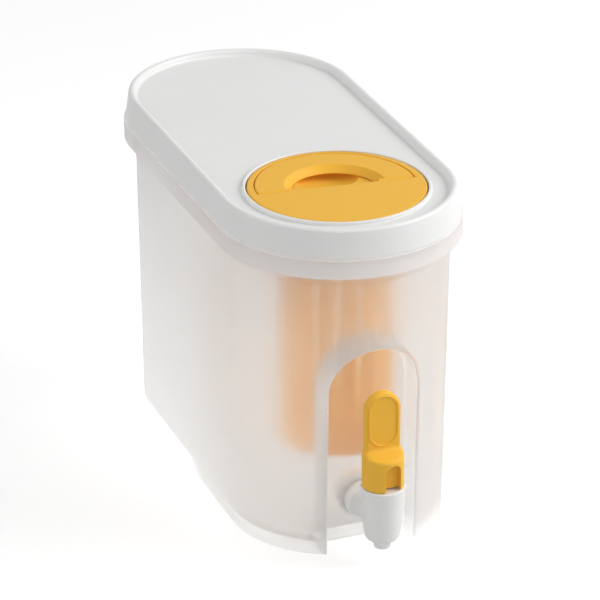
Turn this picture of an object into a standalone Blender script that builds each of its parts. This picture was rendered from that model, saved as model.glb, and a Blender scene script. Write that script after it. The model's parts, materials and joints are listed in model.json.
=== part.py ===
"""Drink dispenser: a stadium-shaped vessel with a lid, a capped infuser and a tap in a front niche.

Metres, +Z up. The tap is at -Y, and the origin is on the floor under the middle of the whole object.
"""
import math

import bmesh
import bpy
from mathutils import Matrix, Vector

# Driving dimensions
TOTAL_HEIGHT = 0.2043
LID_WIDTH = 0.1350
LID_LENGTH = 0.2887

# Clearances
SEAT_GAP = 0.0003
OVERRUN = 0.0020

# Container: insets and overhangs are a side, and the ends draw in further than the sides
NECK_INSET = 0.0007
BODY_INSET = 0.0035
SIDE_DRAFT = 0.0014
END_DRAFT = 0.00265
WALL = 0.0022
FOOT_HEIGHT = 0.0080
FOOT_EDGE_RADIUS = 0.0009
FLOOR_FILLET = 0.0040
NECK_TOP_CLEARANCE = 0.0005
NECK_EDGE_RADIUS = 0.0005
FLANGE_OVERHANG = 0.0039
FLANGE_THICKNESS = 0.0020
LIP_HEIGHT = 0.0112
LIP_THICKNESS = 0.0018
LIP_EDGE_RADIUS = 0.0006
FLARE_HEIGHT = 0.0080
FLARE_DROP = 0.0090
FLARE_RADIUS = 0.0040

# Niche in the front end, and the hand reliefs in the foot
NICHE_WIDTH = 0.0526
NICHE_TOP_Z = 0.1277
NICHE_DEPTH = 0.0208
NICHE_FOOT_LIFT = 0.0005
RELIEF_FRONT_SETBACK = 0.1238
RELIEF_REAR_SETBACK = 0.0288
RELIEF_SLANT = 0.0120

# Lid
SKIRT_HEIGHT = 0.0169
SKIRT_FLARE = 0.0022
SKIRT_THICKNESS = 0.0020
SKIRT_EDGE_RADIUS = 0.0004
LID_EDGE_RADIUS = 0.0020
RIM_WIDTH = 0.0040
RIM_HEIGHT = 0.0040
RIM_ROOT_RADIUS = 0.0012
PANEL_THICKNESS = 0.0022
PLUG_CLEARANCE = 0.0012
PLUG_THICKNESS = 0.0028
PLUG_DEPTH = 0.0085
PLUG_EDGE_RADIUS = 0.0004
GASKET_HEIGHT = 0.0030
GASKET_GROOVE_DEPTH = 0.0011
GASKET_GROOVE_DROP = 0.0023

# Round opening in the lid
OPENING_MARGIN = 0.0104
COLLAR_WALL = 0.0018
COLLAR_STEP = 0.0021
COLLAR_EDGE_RADIUS = 0.0005
LEDGE_WIDTH = 0.0048
LEDGE_THICKNESS = 0.0020
WELL_DEPTH = 0.0144

# Infuser basket
DROP_IN_CLEARANCE = 0.0007
INFUSER_FLANGE_THICKNESS = 0.0020
INFUSER_NECK_CLEARANCE = 0.0008
INFUSER_NECK_HEIGHT = 0.0030
INFUSER_FUNNEL_HEIGHT = 0.0100
BASKET_NICHE_GAP = 0.00495
BASKET_WALL = 0.0018
BASKET_BOTTOM_Z = 0.0480
BASKET_BOTTOM_RADIUS = 0.0020
SLOT_COUNT = 16
SLOT_WIDTH = 0.0034
SLOT_LOW_Z = 0.0690
SLOT_TOP_MARGIN = 0.0060

# Cap in the opening, and its fold-flat handle
CAP_TURN_DEG = -5.0
CAP_TOP_DROP = 0.0004
CAP_EDGE_RADIUS = 0.0008
CAP_PLATE_THICKNESS = 0.0022
CAP_SKIRT_STEP = 0.0008
CAP_SKIRT_THICKNESS = 0.0026
CAP_GASKET_HEIGHT = 0.0022
CAP_GASKET_GROOVE_DEPTH = 0.0012
CAP_GASKET_GROOVE_LIFT = 0.0020
TRAY_THICKNESS = 0.0020
HANDLE_MARGIN = 0.0051
HANDLE_RING_WIDTH = 0.0167
HANDLE_INNER_SLOPE = 0.0043
HANDLE_THICKNESS = 0.0045
HANDLE_EDGE_RADIUS = 0.0009
HANDLE_SIDE_GAP = 0.0005
BARREL_EASE = 0.0001
TRUNNION_RADIUS = 0.0014
TRUNNION_LENGTH = 0.0022
TRUNNION_CLEARANCE = 0.00015
SCOOP_HALF_WIDTH = 0.0185
SCOOP_HALF_LENGTH = 0.0135
SCOOP_DEPTH = 0.0046
SCOOP_INSET = 0.0073

# Tap body
TAP_REACH = 0.0324
TAP_RIM_Z = 0.0488
TAP_RIM_RADIUS = 0.01295
TAP_WAIST_DROP = 0.0150
TAP_WAIST_INSET = 0.00185
TAP_SHOULDER_HEIGHT = 0.0026
TAP_SHOULDER_INSET = 0.0040
TAP_SHOULDER_FILLET = 0.0024
TAP_WALL = 0.0008
NOZZLE_TIP_Z = 0.0098
NOZZLE_LENGTH = 0.0040
NOZZLE_RADIUS = 0.0052
NOZZLE_TIP_RADIUS = 0.0048
NOZZLE_BORE_RADIUS = 0.0032
SEAT_LIFT = 0.0033
BONNET_SEAT_INSET = 0.00185
BONNET_SEAT_DEPTH = 0.0035
TAP_EDGE_RADIUS = 0.0005

# Inlet barrel, washers and nut
BARREL_RADIUS = 0.0075
BARREL_BORE_RADIUS = 0.0048
BARREL_TAIL = 0.0120
TAP_FLANGE_RADIUS = 0.0110
TAP_FLANGE_THICKNESS = 0.0025
BARREL_CLEARANCE = 0.0003
WASHER_THICKNESS = 0.0020
WASHER_RADIUS = 0.0105
NUT_ACROSS_FLATS = 0.0240
NUT_THICKNESS = 0.0070
NUT_LIFT = 0.00144

# Valve: stem, seal, spring and bonnet
SEAL_RADIUS = 0.0056
SEAL_THICKNESS = 0.0028
SEAL_PLUG_DEPTH = 0.0014
SEAL_PLUG_CLEARANCE = 0.0006
STEM_COLLAR_CLEARANCE = 0.0018
STEM_COLLAR_THICKNESS = 0.0020
STEM_RADIUS = 0.0025
STEM_HEAD_RISE = 0.0030
CROSS_RADIUS = 0.0018
CROSS_SOCKET_DEPTH = 0.0008
CROSS_CLEARANCE = 0.0003
BONNET_GUIDE_CLEARANCE = 0.0003
BONNET_DROP = 0.0003
SPRING_INSET = 0.0012
SPRING_WIRE_RADIUS = 0.0005
SPRING_TURNS = 6
SPRING_POINTS_PER_TURN = 8

# Tap lever
HOOD_INSET = 0.0010
HOOD_WALL = 0.0018
HOOD_HEIGHT = 0.0189
HOOD_SHOULDER_HEIGHT = 0.0045
HOOD_ROOF_DROP = 0.0020
PIN_LIFT = 0.0090
PADDLE_WIDTH = 0.0210
PADDLE_THICKNESS = 0.0058
PADDLE_SETBACK = 0.0022
PADDLE_HEIGHT = 0.0334
PADDLE_EDGE_RADIUS = 0.0016
PADDLE_ROOT_DEPTH = 0.0060
OVAL_SIDE_MARGIN = 0.0016
OVAL_TOP_MARGIN = 0.0013
OVAL_LOW_MARGIN = 0.0008
OVAL_RIM_WIDTH = 0.0009
OVAL_RIM_HEIGHT = 0.0006
OVAL_SINK = 0.0002
WINDOW_WIDTH = 0.0098
WINDOW_HEIGHT = 0.0161
WINDOW_TURN_DEG = 12.0
WEB_SETBACK = 0.0060
WEB_THICKNESS = 0.0012
WEB_LIFT = 0.0012

# Smoothness of the curved surfaces
END_STEPS = 18
ROUND_STEPS = 2
EASED_STEPS = 1
EASED_RADIUS = 0.0010
FILLET_LIMIT_SHARE = 0.45
LARGE_STEPS = 48
SMALL_STEPS = 24
FINE_STEPS = 12
SLOT_END_STEPS = 3
BASKET_FACETS_PER_SLOT = 2
SLOT_PHASE_SHARE = 0.25
MERGE_DISTANCE = 0.00001
SHARP_ANGLE_DEG = 35.0
SQUARE_POWER = 5.0
ROUND_POWER = 2.0
MID_POWER = 3.0
SHOULDER_MID_SHARE = 0.45
SHOULDER_WIDTH_SHARE = 0.94
SHOULDER_DEPTH_SHARE = 0.50

# Heights that follow from the sizes above
skirt_bottom_z = TOTAL_HEIGHT - SKIRT_HEIGHT
flange_z = skirt_bottom_z - SEAT_GAP
lip_bottom_z = flange_z - LIP_HEIGHT
flare_high_z = flange_z - FLARE_DROP
flare_low_z = flare_high_z - FLARE_HEIGHT
floor_top_z = FOOT_HEIGHT + WALL
panel_top_z = TOTAL_HEIGHT - RIM_HEIGHT
panel_under_z = panel_top_z - PANEL_THICKNESS
neck_top_z = panel_under_z - NECK_TOP_CLEARANCE
plug_bottom_z = panel_under_z - PLUG_DEPTH
gasket_top_z = panel_under_z - GASKET_GROOVE_DROP
collar_top_z = panel_top_z + COLLAR_STEP
ledge_top_z = collar_top_z - WELL_DEPTH
ledge_bottom_z = ledge_top_z - LEDGE_THICKNESS
infuser_flange_z = ledge_top_z + SEAT_GAP
infuser_top_z = infuser_flange_z + INFUSER_FLANGE_THICKNESS
cap_bottom_z = infuser_top_z + SEAT_GAP
cap_top_z = collar_top_z - CAP_TOP_DROP
handle_axis_z = cap_top_z - HANDLE_THICKNESS / 2
recess_floor_z = cap_top_z - HANDLE_THICKNESS - SEAT_GAP
hood_bottom_z = TAP_RIM_Z + SEAT_GAP
hood_top_z = hood_bottom_z + HOOD_HEIGHT
shoulder_top_z = hood_top_z + HOOD_SHOULDER_HEIGHT
paddle_top_z = shoulder_top_z + PADDLE_HEIGHT
pin_z = hood_bottom_z + PIN_LIFT
bonnet_bottom_z = TAP_RIM_Z - BONNET_SEAT_DEPTH + SEAT_GAP
bonnet_top_z = TAP_RIM_Z - BONNET_DROP
nozzle_root_z = NOZZLE_TIP_Z + NOZZLE_LENGTH
tap_shoulder_z = nozzle_root_z + TAP_SHOULDER_HEIGHT
seat_z = tap_shoulder_z + SEAT_LIFT
seal_bottom_z = seat_z + SEAT_GAP
seal_top_z = seal_bottom_z + SEAL_THICKNESS
collar_low_z = seal_top_z + SEAT_GAP
collar_high_z = collar_low_z + STEM_COLLAR_THICKNESS
nut_corner_radius = NUT_ACROSS_FLATS / 2 / math.cos(math.pi / 6)
inlet_z = floor_top_z + NUT_LIFT + nut_corner_radius

# Half widths of the vessel and the lid
lid_half = LID_WIDTH / 2
skirt_half = lid_half + SKIRT_FLARE
neck_half = lid_half - NECK_INSET
flange_half = neck_half + FLANGE_OVERHANG
body_half = lid_half - BODY_INSET
base_half = body_half - SIDE_DRAFT
plug_half = neck_half - WALL - PLUG_CLEARANCE

# Places along Y
end_offset = (LID_LENGTH - LID_WIDTH) / 2
base_end_offset = end_offset - END_DRAFT
base_half_length = base_end_offset + base_half
panel_from_centre = base_half_length - NICHE_DEPTH
front_reach = panel_from_centre + TAP_REACH + TAP_RIM_RADIUS
rear_reach = end_offset + flange_half
vessel_y = (front_reach - rear_reach) / 2
opening_y = vessel_y - end_offset
panel_y = vessel_y - panel_from_centre
tap_y = panel_y - TAP_REACH
handle_axis_y = HANDLE_THICKNESS / 2 + HANDLE_SIDE_GAP

# Radii of the round pieces that fit into each other
opening_radius = lid_half - RIM_WIDTH - OPENING_MARGIN - COLLAR_WALL
ledge_radius = opening_radius - LEDGE_WIDTH
cap_radius = opening_radius - DROP_IN_CLEARANCE
handle_outer_radius = cap_radius - HANDLE_MARGIN
handle_inner_radius = handle_outer_radius - HANDLE_RING_WIDTH
scoop_centre_y = handle_inner_radius - SCOOP_INSET
basket_radius = panel_from_centre - WALL - end_offset - BASKET_NICHE_GAP
tap_waist_radius = TAP_RIM_RADIUS - TAP_WAIST_INSET
tap_shoulder_radius = TAP_RIM_RADIUS - TAP_SHOULDER_INSET
chamber_radius = tap_shoulder_radius - TAP_WALL
bonnet_seat_radius = TAP_RIM_RADIUS - BONNET_SEAT_INSET
stem_collar_radius = chamber_radius - STEM_COLLAR_CLEARANCE
spring_radius = stem_collar_radius - SPRING_INSET
hood_radius = TAP_RIM_RADIUS - HOOD_INSET


def clear_scene():
    """Removes every object, so the script can run again in one session."""
    for old in list(bpy.data.objects):
        bpy.data.objects.remove(old, do_unlink=True)


def new_collection(name):
    """A collection linked to the scene."""
    collection = bpy.data.collections.new(name)
    bpy.context.scene.collection.children.link(collection)
    return collection


clear_scene()
PARTS = new_collection("drink_dispenser")
TOOLS = new_collection("cutters")


def plastic(name, colour, roughness, alpha=1.0):
    """A Principled material in one colour."""
    material = bpy.data.materials.new(name)
    material.use_nodes = True
    shader = material.node_tree.nodes["Principled BSDF"]
    shader.inputs["Base Color"].default_value = (*colour, 1.0)
    shader.inputs["Roughness"].default_value = roughness
    shader.inputs["Metallic"].default_value = 0.0
    shader.inputs["Alpha"].default_value = alpha
    return material


def metal(name, colour, roughness):
    """A Principled metal in one colour."""
    material = plastic(name, colour, roughness)
    material.node_tree.nodes["Principled BSDF"].inputs["Metallic"].default_value = 1.0
    return material


def new_object(name, mesh, collection, origin=(0, 0, 0), parent=None):
    """An object for a mesh, placed by its origin."""
    made = bpy.data.objects.new(name, mesh)
    made.location = origin
    made.parent = parent
    collection.objects.link(made)
    if collection == TOOLS:
        made.hide_render = True
        made.display_type = "WIRE"
    return made


def mesh_from(name, shape):
    """A mesh from a bmesh, with its faces turned outwards."""
    bmesh.ops.remove_doubles(shape, verts=shape.verts, dist=MERGE_DISTANCE)
    bmesh.ops.recalc_face_normals(shape, faces=shape.faces)
    mesh = bpy.data.meshes.new(name)
    shape.to_mesh(mesh)
    shape.free()
    return mesh


def smooth(made):
    """Shades round surfaces smooth and keeps real edges sharp."""
    made.data.shade_smooth()
    made.data.set_sharp_from_angle(angle=math.radians(SHARP_ANGLE_DEG))


def rounded(corners):
    """The points of an outline of (x, y, radius) corners, with an arc or an eased edge at each radius."""
    points = []
    for index, (x, y, radius) in enumerate(corners):
        if radius == 0:
            points.append((x, y))
            continue
        here = Vector((x, y))
        back = Vector(corners[index - 1][:2]) - here
        ahead = Vector(corners[(index + 1) % len(corners)][:2]) - here
        half_angle = back.angle(ahead) / 2
        limit = FILLET_LIMIT_SHARE * min(back.length, ahead.length)
        reach = min(radius / math.tan(half_angle), limit)
        start = here + back.normalized() * reach
        end = here + ahead.normalized() * reach
        middle = back.normalized() + ahead.normalized()
        centre = here + middle.normalized() * reach / math.cos(half_angle)
        arm = (start - centre).length
        steps = EASED_STEPS if radius < EASED_RADIUS else ROUND_STEPS
        for step in range(steps + 1):
            direction = (start - centre).slerp(end - centre, step / steps)
            points.append(tuple(centre + arm * direction))
    return points


def arc(centre_x, centre_y, radius, start_deg, end_deg, steps):
    """Points along an arc."""
    points = []
    for step in range(steps + 1):
        angle = math.radians(start_deg + (end_deg - start_deg) * step / steps)
        points.append((centre_x + radius * math.cos(angle), centre_y + radius * math.sin(angle)))
    return points


def turned(name, corners, collection=PARTS, origin=(0, 0, 0), steps=LARGE_STEPS, closed=True, parent=None):
    """A solid of revolution about Z: the profile runs down its outer side."""
    points = rounded(corners)
    mesh = bpy.data.meshes.new(name)
    count = len(points)
    edges = [(index, index + 1) for index in range(count - 1)]
    if closed:
        edges.append((count - 1, 0))
    mesh.from_pydata([(radius, 0, z - origin[2]) for radius, z in points], edges, [])
    made = new_object(name, mesh, collection, origin, parent)
    screw = made.modifiers.new("turn", "SCREW")
    screw.axis = "Z"
    screw.steps = steps
    screw.render_steps = steps
    screw.use_merge_vertices = True
    screw.merge_threshold = MERGE_DISTANCE
    screw.use_smooth_shade = True
    return made


def rod(name, radius, length, collection, origin, axis, steps=SMALL_STEPS, parent=None):
    """A cylinder centred on its origin, along X, Y or Z."""
    shape = bmesh.new()
    bmesh.ops.create_cone(shape, cap_ends=True, segments=steps, radius1=radius, radius2=radius, depth=length)
    made = new_object(name, mesh_from(name, shape), collection, origin, parent)
    if axis == "X":
        made.rotation_euler.y = math.radians(90)
    if axis == "Y":
        made.rotation_euler.x = math.radians(90)
    return made


def extruded(shape, outline, axis, start, end):
    """Adds an outline, extruded along X, Y or Z, to a shape and returns its points."""
    if axis == "X":
        corners = [shape.verts.new((start, a, b)) for a, b in outline]
        step = Vector((end - start, 0, 0))
    elif axis == "Y":
        corners = [shape.verts.new((a, start, b)) for a, b in outline]
        step = Vector((0, end - start, 0))
    else:
        corners = [shape.verts.new((a, b, start)) for a, b in outline]
        step = Vector((0, 0, end - start))
    face = shape.faces.new(corners)
    grown = bmesh.ops.extrude_face_region(shape, geom=[face], use_keep_orig=True)
    moved = [item for item in grown["geom"] if isinstance(item, bmesh.types.BMVert)]
    bmesh.ops.translate(shape, verts=moved, vec=step)
    return corners + moved


def prism(name, outline, axis, start, end, collection=TOOLS, origin=(0, 0, 0), parent=None):
    """An outline extruded along X, Y or Z, from start to end."""
    shape = bmesh.new()
    extruded(shape, outline, axis, start, end)
    return new_object(name, mesh_from(name, shape), collection, origin, parent)


def add_boolean(target, operation, other):
    """A Boolean modifier with the exact solver, which also resolves near-touching facets of one mesh."""
    modifier = target.modifiers.new(other.name, "BOOLEAN")
    modifier.operation = operation
    modifier.solver = "EXACT"
    modifier.use_self = True
    modifier.object = other


def stadium_sweep(name, corners, collection, closed=False):
    """Sweeps a (distance from the centre line, height) profile round the vessel's stadium plan.

    Each end is half a turn about its own centre, and the long sides are straight. Below the flange the
    end centres draw in towards the base, which gives the ends more draft than the sides.
    """
    shape = bmesh.new()
    points = rounded(corners)
    front = vessel_y - end_offset
    verts = [shape.verts.new((across, front, z)) for across, z in points]
    section = [shape.edges.new(pair) for pair in zip(verts, verts[1:])]
    if closed:
        section.append(shape.edges.new((verts[-1], verts[0])))
    for side in (-1, 1):
        centre = (0, vessel_y + side * end_offset, 0)
        geometry = section + list({vert for edge in section for vert in edge.verts})
        spun = bmesh.ops.spin(shape, geom=geometry, cent=centre, axis=(0, 0, -1), dvec=(0, 0, 0),
                              angle=math.pi, steps=END_STEPS, use_merge=False, use_duplicate=False)
        section = [item for item in spun["geom_last"] if isinstance(item, bmesh.types.BMEdge)]
        straight = bmesh.ops.extrude_edge_only(shape, edges=section)
        moved = [item for item in straight["geom"] if isinstance(item, bmesh.types.BMVert)]
        bmesh.ops.translate(shape, verts=moved, vec=(0, -side * 2 * end_offset, 0))
        section = [item for item in straight["geom"] if isinstance(item, bmesh.types.BMEdge)]
        section = [edge for edge in section if all(vert in moved for vert in edge.verts)]
    bmesh.ops.remove_doubles(shape, verts=shape.verts, dist=MERGE_DISTANCE)
    for vert in shape.verts:
        share_below = max(0.0, 1.0 - vert.co.z / flange_z)
        from_centre = vert.co.y - vessel_y
        if abs(from_centre) > MERGE_DISTANCE:
            vert.co.y -= math.copysign((end_offset - base_end_offset) * share_below, from_centre)
    return new_object(name, mesh_from(name, shape), collection)


def wall_half_at(z):
    """Half the outside width of the container's plain wall at a height."""
    return base_half + (body_half - base_half) * z / flare_low_z


def niche_outline(grow, low_z):
    """The niche's arch, seen from the front."""
    half = NICHE_WIDTH / 2 + grow
    spring_z = NICHE_TOP_Z - NICHE_WIDTH / 2
    return [(-half, low_z)] + [(half, low_z)] + arc(0, spring_z, half, 0, 180, END_STEPS)


def build_niche_sleeve():
    """The arched tunnel and its back wall, before the niche is cut out of it.

    It ends half way through the container's wall, so that the two join without a shared face.
    """
    middle = WALL / 2
    top_z = NICHE_TOP_Z + NICHE_WIDTH / 2
    inside = stadium_sweep("niche_limit", [
        (0, NICHE_FOOT_LIFT, 0),
        (wall_half_at(NICHE_FOOT_LIFT) - middle, NICHE_FOOT_LIFT, 0),
        (wall_half_at(top_z) - middle, top_z, 0),
        (0, top_z, 0),
    ], TOOLS)
    front_y = vessel_y - base_half_length - NICHE_DEPTH
    outline = niche_outline(WALL, -OVERRUN)
    sleeve = prism("niche_sleeve", outline, "Y", front_y, panel_y + WALL)
    add_boolean(sleeve, "INTERSECT", inside)
    return sleeve


def build_relief_cutter():
    """One bar across the vessel that opens the foot skirt on both long sides, with slanted ends."""
    front = vessel_y - base_half_length + RELIEF_FRONT_SETBACK
    rear = vessel_y + base_half_length - RELIEF_REAR_SETBACK
    slant_below = RELIEF_SLANT * OVERRUN / FOOT_HEIGHT
    outline = [
        (front - slant_below, -OVERRUN),
        (rear + slant_below, -OVERRUN),
        (rear - RELIEF_SLANT, FOOT_HEIGHT),
        (front + RELIEF_SLANT, FOOT_HEIGHT),
    ]
    return prism("relief_cutter", outline, "X", -flange_half, flange_half)


def build_container(material):
    """The vessel: foot skirt, drafted wall, flared neck, down-turned rim, niche and reliefs."""
    container = stadium_sweep("container", [
        (0, FOOT_HEIGHT, 0),
        (base_half - WALL, FOOT_HEIGHT, 0),
        (base_half - WALL, 0, 0),
        (base_half, 0, FOOT_EDGE_RADIUS),
        (body_half, flare_low_z, FLARE_RADIUS),
        (neck_half, flare_high_z, FLARE_RADIUS),
        (neck_half, flange_z - FLANGE_THICKNESS, 0),
        (flange_half - LIP_THICKNESS, flange_z - FLANGE_THICKNESS, 0),
        (flange_half - LIP_THICKNESS, lip_bottom_z, LIP_EDGE_RADIUS),
        (flange_half, lip_bottom_z, LIP_EDGE_RADIUS),
        (flange_half, flange_z, LIP_EDGE_RADIUS),
        (neck_half, flange_z, 0),
        (neck_half, neck_top_z, NECK_EDGE_RADIUS),
        (neck_half - WALL, neck_top_z, NECK_EDGE_RADIUS),
        (neck_half - WALL, flare_high_z, FLARE_RADIUS),
        (body_half - WALL, flare_low_z, FLARE_RADIUS),
        (wall_half_at(floor_top_z) - WALL, floor_top_z, FLOOR_FILLET),
        (0, floor_top_z, 0),
    ], PARTS)
    add_boolean(container, "UNION", build_niche_sleeve())
    front_y = vessel_y - base_half_length - NICHE_DEPTH
    niche = prism("niche_cutter", niche_outline(0, -OVERRUN), "Y", front_y, panel_y)
    add_boolean(container, "DIFFERENCE", niche)
    add_boolean(container, "DIFFERENCE", build_relief_cutter())
    hole_radius = BARREL_RADIUS + BARREL_CLEARANCE
    hole_centre = (0, panel_y + WALL / 2, inlet_z)
    hole = rod("tap_hole_cutter", hole_radius, WALL + 2 * OVERRUN, TOOLS, hole_centre, "Y")
    add_boolean(container, "DIFFERENCE", hole)
    container.data.materials.append(material)
    smooth(container)


def build_lid(material):
    """The lid: panel, raised rim, drafted skirt, grooved plug wall, and the collar of the opening."""
    groove_half = plug_half - GASKET_GROOVE_DEPTH
    groove_top_z = gasket_top_z + SEAT_GAP
    groove_low_z = gasket_top_z - GASKET_HEIGHT - SEAT_GAP
    lid = stadium_sweep("lid", [
        (0, panel_under_z, 0),
        (plug_half - PLUG_THICKNESS, panel_under_z, 0),
        (plug_half - PLUG_THICKNESS, plug_bottom_z, PLUG_EDGE_RADIUS),
        (plug_half, plug_bottom_z, PLUG_EDGE_RADIUS),
        (plug_half, groove_low_z, 0),
        (groove_half, groove_low_z, 0),
        (groove_half, groove_top_z, 0),
        (plug_half, groove_top_z, 0),
        (plug_half, panel_under_z, 0),
        (lid_half - SEAT_GAP, panel_under_z, 0),
        (skirt_half - SKIRT_THICKNESS, skirt_bottom_z, SKIRT_EDGE_RADIUS),
        (skirt_half, skirt_bottom_z, SKIRT_EDGE_RADIUS),
        (lid_half, TOTAL_HEIGHT, LID_EDGE_RADIUS),
        (lid_half - RIM_WIDTH, TOTAL_HEIGHT, LID_EDGE_RADIUS),
        (lid_half - RIM_WIDTH, panel_top_z, RIM_ROOT_RADIUS),
        (0, panel_top_z, 0),
    ], PARTS)
    middle_radius = opening_radius + COLLAR_WALL / 2
    hole_centre = (0, opening_y, panel_under_z)
    hole = rod("opening_cutter", middle_radius, 2 * WELL_DEPTH, TOOLS, hole_centre, "Z", LARGE_STEPS)
    add_boolean(lid, "DIFFERENCE", hole)
    add_boolean(lid, "UNION", build_collar())
    lid.data.materials.append(material)
    smooth(lid)


def build_collar():
    """The ring round the lid's opening, with the ledge that carries the infuser."""
    outer = opening_radius + COLLAR_WALL
    return turned("collar", [
        (opening_radius, collar_top_z, COLLAR_EDGE_RADIUS),
        (outer, collar_top_z, COLLAR_EDGE_RADIUS),
        (outer, ledge_bottom_z, 0),
        (ledge_radius, ledge_bottom_z, 0),
        (ledge_radius, ledge_top_z, 0),
        (opening_radius, ledge_top_z, 0),
    ], TOOLS, (0, opening_y, 0))


def build_lid_gasket(material):
    """The silicone ring in the plug wall's groove, with its sealing bead towards the neck."""
    inner = plug_half - GASKET_GROOVE_DEPTH + SEAT_GAP
    outer = neck_half - WALL - SEAT_GAP
    middle_z = gasket_top_z - GASKET_HEIGHT / 2
    shoulder = (inner + outer) / 2
    gasket = stadium_sweep("lid_gasket", [
        (inner, gasket_top_z, 0),
        (shoulder, gasket_top_z, 0),
        (outer, middle_z, 0),
        (shoulder, gasket_top_z - GASKET_HEIGHT, 0),
        (inner, gasket_top_z - GASKET_HEIGHT, 0),
    ], PARTS, closed=True)
    gasket.data.materials.append(material)
    smooth(gasket)


def build_slot_cutters():
    """One tool of separate radial bars with round ends, one bar for each slot of the basket."""
    shape = bmesh.new()
    half = SLOT_WIDTH / 2
    neck_low_z = infuser_flange_z - INFUSER_NECK_HEIGHT - INFUSER_FUNNEL_HEIGHT
    low_z = SLOT_LOW_Z + half
    top_z = neck_low_z - SLOT_TOP_MARGIN - half
    outline = arc(0, top_z, half, 0, 180, SLOT_END_STEPS) + arc(0, low_z, half, 180, 360, SLOT_END_STEPS)
    near = basket_radius - BASKET_WALL - OVERRUN
    far = basket_radius + OVERRUN
    for index in range(SLOT_COUNT):
        bar = extruded(shape, outline, "X", near, far)
        turn = math.tau * (index + SLOT_PHASE_SHARE) / SLOT_COUNT
        bmesh.ops.rotate(shape, verts=bar, cent=(0, 0, 0), matrix=Matrix.Rotation(turn, 3, "Z"))
    return new_object("slot_cutters", mesh_from("slot_cutters", shape), TOOLS, (0, opening_y, 0))


def build_infuser(material):
    """The basket that hangs on the lid's ledge: flange, neck, funnel and slotted tube."""
    neck = ledge_radius - INFUSER_NECK_CLEARANCE
    neck_low_z = infuser_flange_z - INFUSER_NECK_HEIGHT
    funnel_low_z = neck_low_z - INFUSER_FUNNEL_HEIGHT
    inner = basket_radius - BASKET_WALL
    basket = turned("infuser_basket", [
        (0, BASKET_BOTTOM_Z + BASKET_WALL, 0),
        (inner, BASKET_BOTTOM_Z + BASKET_WALL, 0),
        (inner, funnel_low_z, 0),
        (neck - BASKET_WALL, neck_low_z, 0),
        (neck - BASKET_WALL, infuser_top_z, 0),
        (cap_radius, infuser_top_z, 0),
        (cap_radius, infuser_flange_z, 0),
        (neck, infuser_flange_z, 0),
        (neck, neck_low_z, 0),
        (basket_radius, funnel_low_z, 0),
        (basket_radius, BASKET_BOTTOM_Z, BASKET_BOTTOM_RADIUS),
        (0, BASKET_BOTTOM_Z, 0),
    ], PARTS, (0, opening_y, 0), SLOT_COUNT * BASKET_FACETS_PER_SLOT, closed=False)
    add_boolean(basket, "DIFFERENCE", build_slot_cutters())
    basket.data.materials.append(material)


def build_cap(material, frame):
    """The cap: turned shell, half-round tray for the handle, finger scoop and trunnion holes."""
    skirt_outer = cap_radius - CAP_SKIRT_STEP
    skirt_inner = skirt_outer - CAP_SKIRT_THICKNESS
    plate_under_z = cap_top_z - CAP_PLATE_THICKNESS
    groove_low_z = cap_bottom_z + CAP_GASKET_GROOVE_LIFT
    groove_top_z = groove_low_z + CAP_GASKET_HEIGHT + 2 * SEAT_GAP
    groove_radius = skirt_outer - CAP_GASKET_GROOVE_DEPTH
    cap = turned("cap", [
        (0, cap_top_z, 0),
        (cap_radius, cap_top_z, CAP_EDGE_RADIUS),
        (cap_radius, plate_under_z, 0),
        (skirt_outer, plate_under_z, 0),
        (skirt_outer, groove_top_z, 0),
        (groove_radius, groove_top_z, 0),
        (groove_radius, groove_low_z, 0),
        (skirt_outer, groove_low_z, 0),
        (skirt_outer, cap_bottom_z, 0),
        (skirt_inner, cap_bottom_z, 0),
        (skirt_inner, plate_under_z, 0),
        (0, plate_under_z, 0),
    ], PARTS, closed=False, parent=frame)
    add_boolean(cap, "UNION", build_tray(frame, skirt_inner))
    add_boolean(cap, "UNION", build_scoop("scoop_shell", frame, TRAY_THICKNESS))
    add_boolean(cap, "DIFFERENCE", build_handle_recess(frame))
    add_boolean(cap, "DIFFERENCE", build_scoop("scoop_cutter", frame, 0))
    hole_length = 2 * (handle_outer_radius + TRUNNION_LENGTH + SEAT_GAP)
    hole_centre = (0, handle_axis_y, handle_axis_z)
    hole_radius = TRUNNION_RADIUS + TRUNNION_CLEARANCE
    add_boolean(cap, "DIFFERENCE",
                rod("trunnion_cutter", hole_radius, hole_length, TOOLS, hole_centre, "X", FINE_STEPS, frame))
    cap.data.materials.append(material)


def build_tray(frame, skirt_inner):
    """The half-round floor and walls under the handle, which end inside the cap's skirt."""
    radius = skirt_inner + CAP_SKIRT_THICKNESS / 4
    front = -TRAY_THICKNESS
    start_deg = math.degrees(math.asin(front / radius))
    outline = arc(0, 0, radius, start_deg, 180 - start_deg, LARGE_STEPS)
    top_z = cap_top_z - CAP_PLATE_THICKNESS / 2
    return prism("tray", outline, "Z", recess_floor_z - TRAY_THICKNESS, top_z, parent=frame)


def build_handle_recess(frame):
    """The D-shaped pocket for the handle, straight along the chord."""
    radius = handle_outer_radius + HANDLE_SIDE_GAP
    outline = [(-radius, 0)] + [(radius, 0)] + arc(0, handle_axis_y, radius, 0, 180, LARGE_STEPS)
    return prism("recess_cutter", outline, "Z", recess_floor_z, cap_top_z + OVERRUN, parent=frame)


def build_scoop(name, frame, grow):
    """The finger scoop: half a flattened ball, as a cutter or grown into its own shell."""
    shape = bmesh.new()
    bmesh.ops.create_uvsphere(shape, u_segments=SMALL_STEPS, v_segments=FINE_STEPS, radius=1.0)
    size = (SCOOP_HALF_WIDTH + grow, SCOOP_HALF_LENGTH + grow, SCOOP_DEPTH + grow)
    bmesh.ops.scale(shape, vec=size, verts=shape.verts)
    return new_object(name, mesh_from(name, shape), TOOLS, (0, scoop_centre_y, recess_floor_z), frame)


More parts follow.
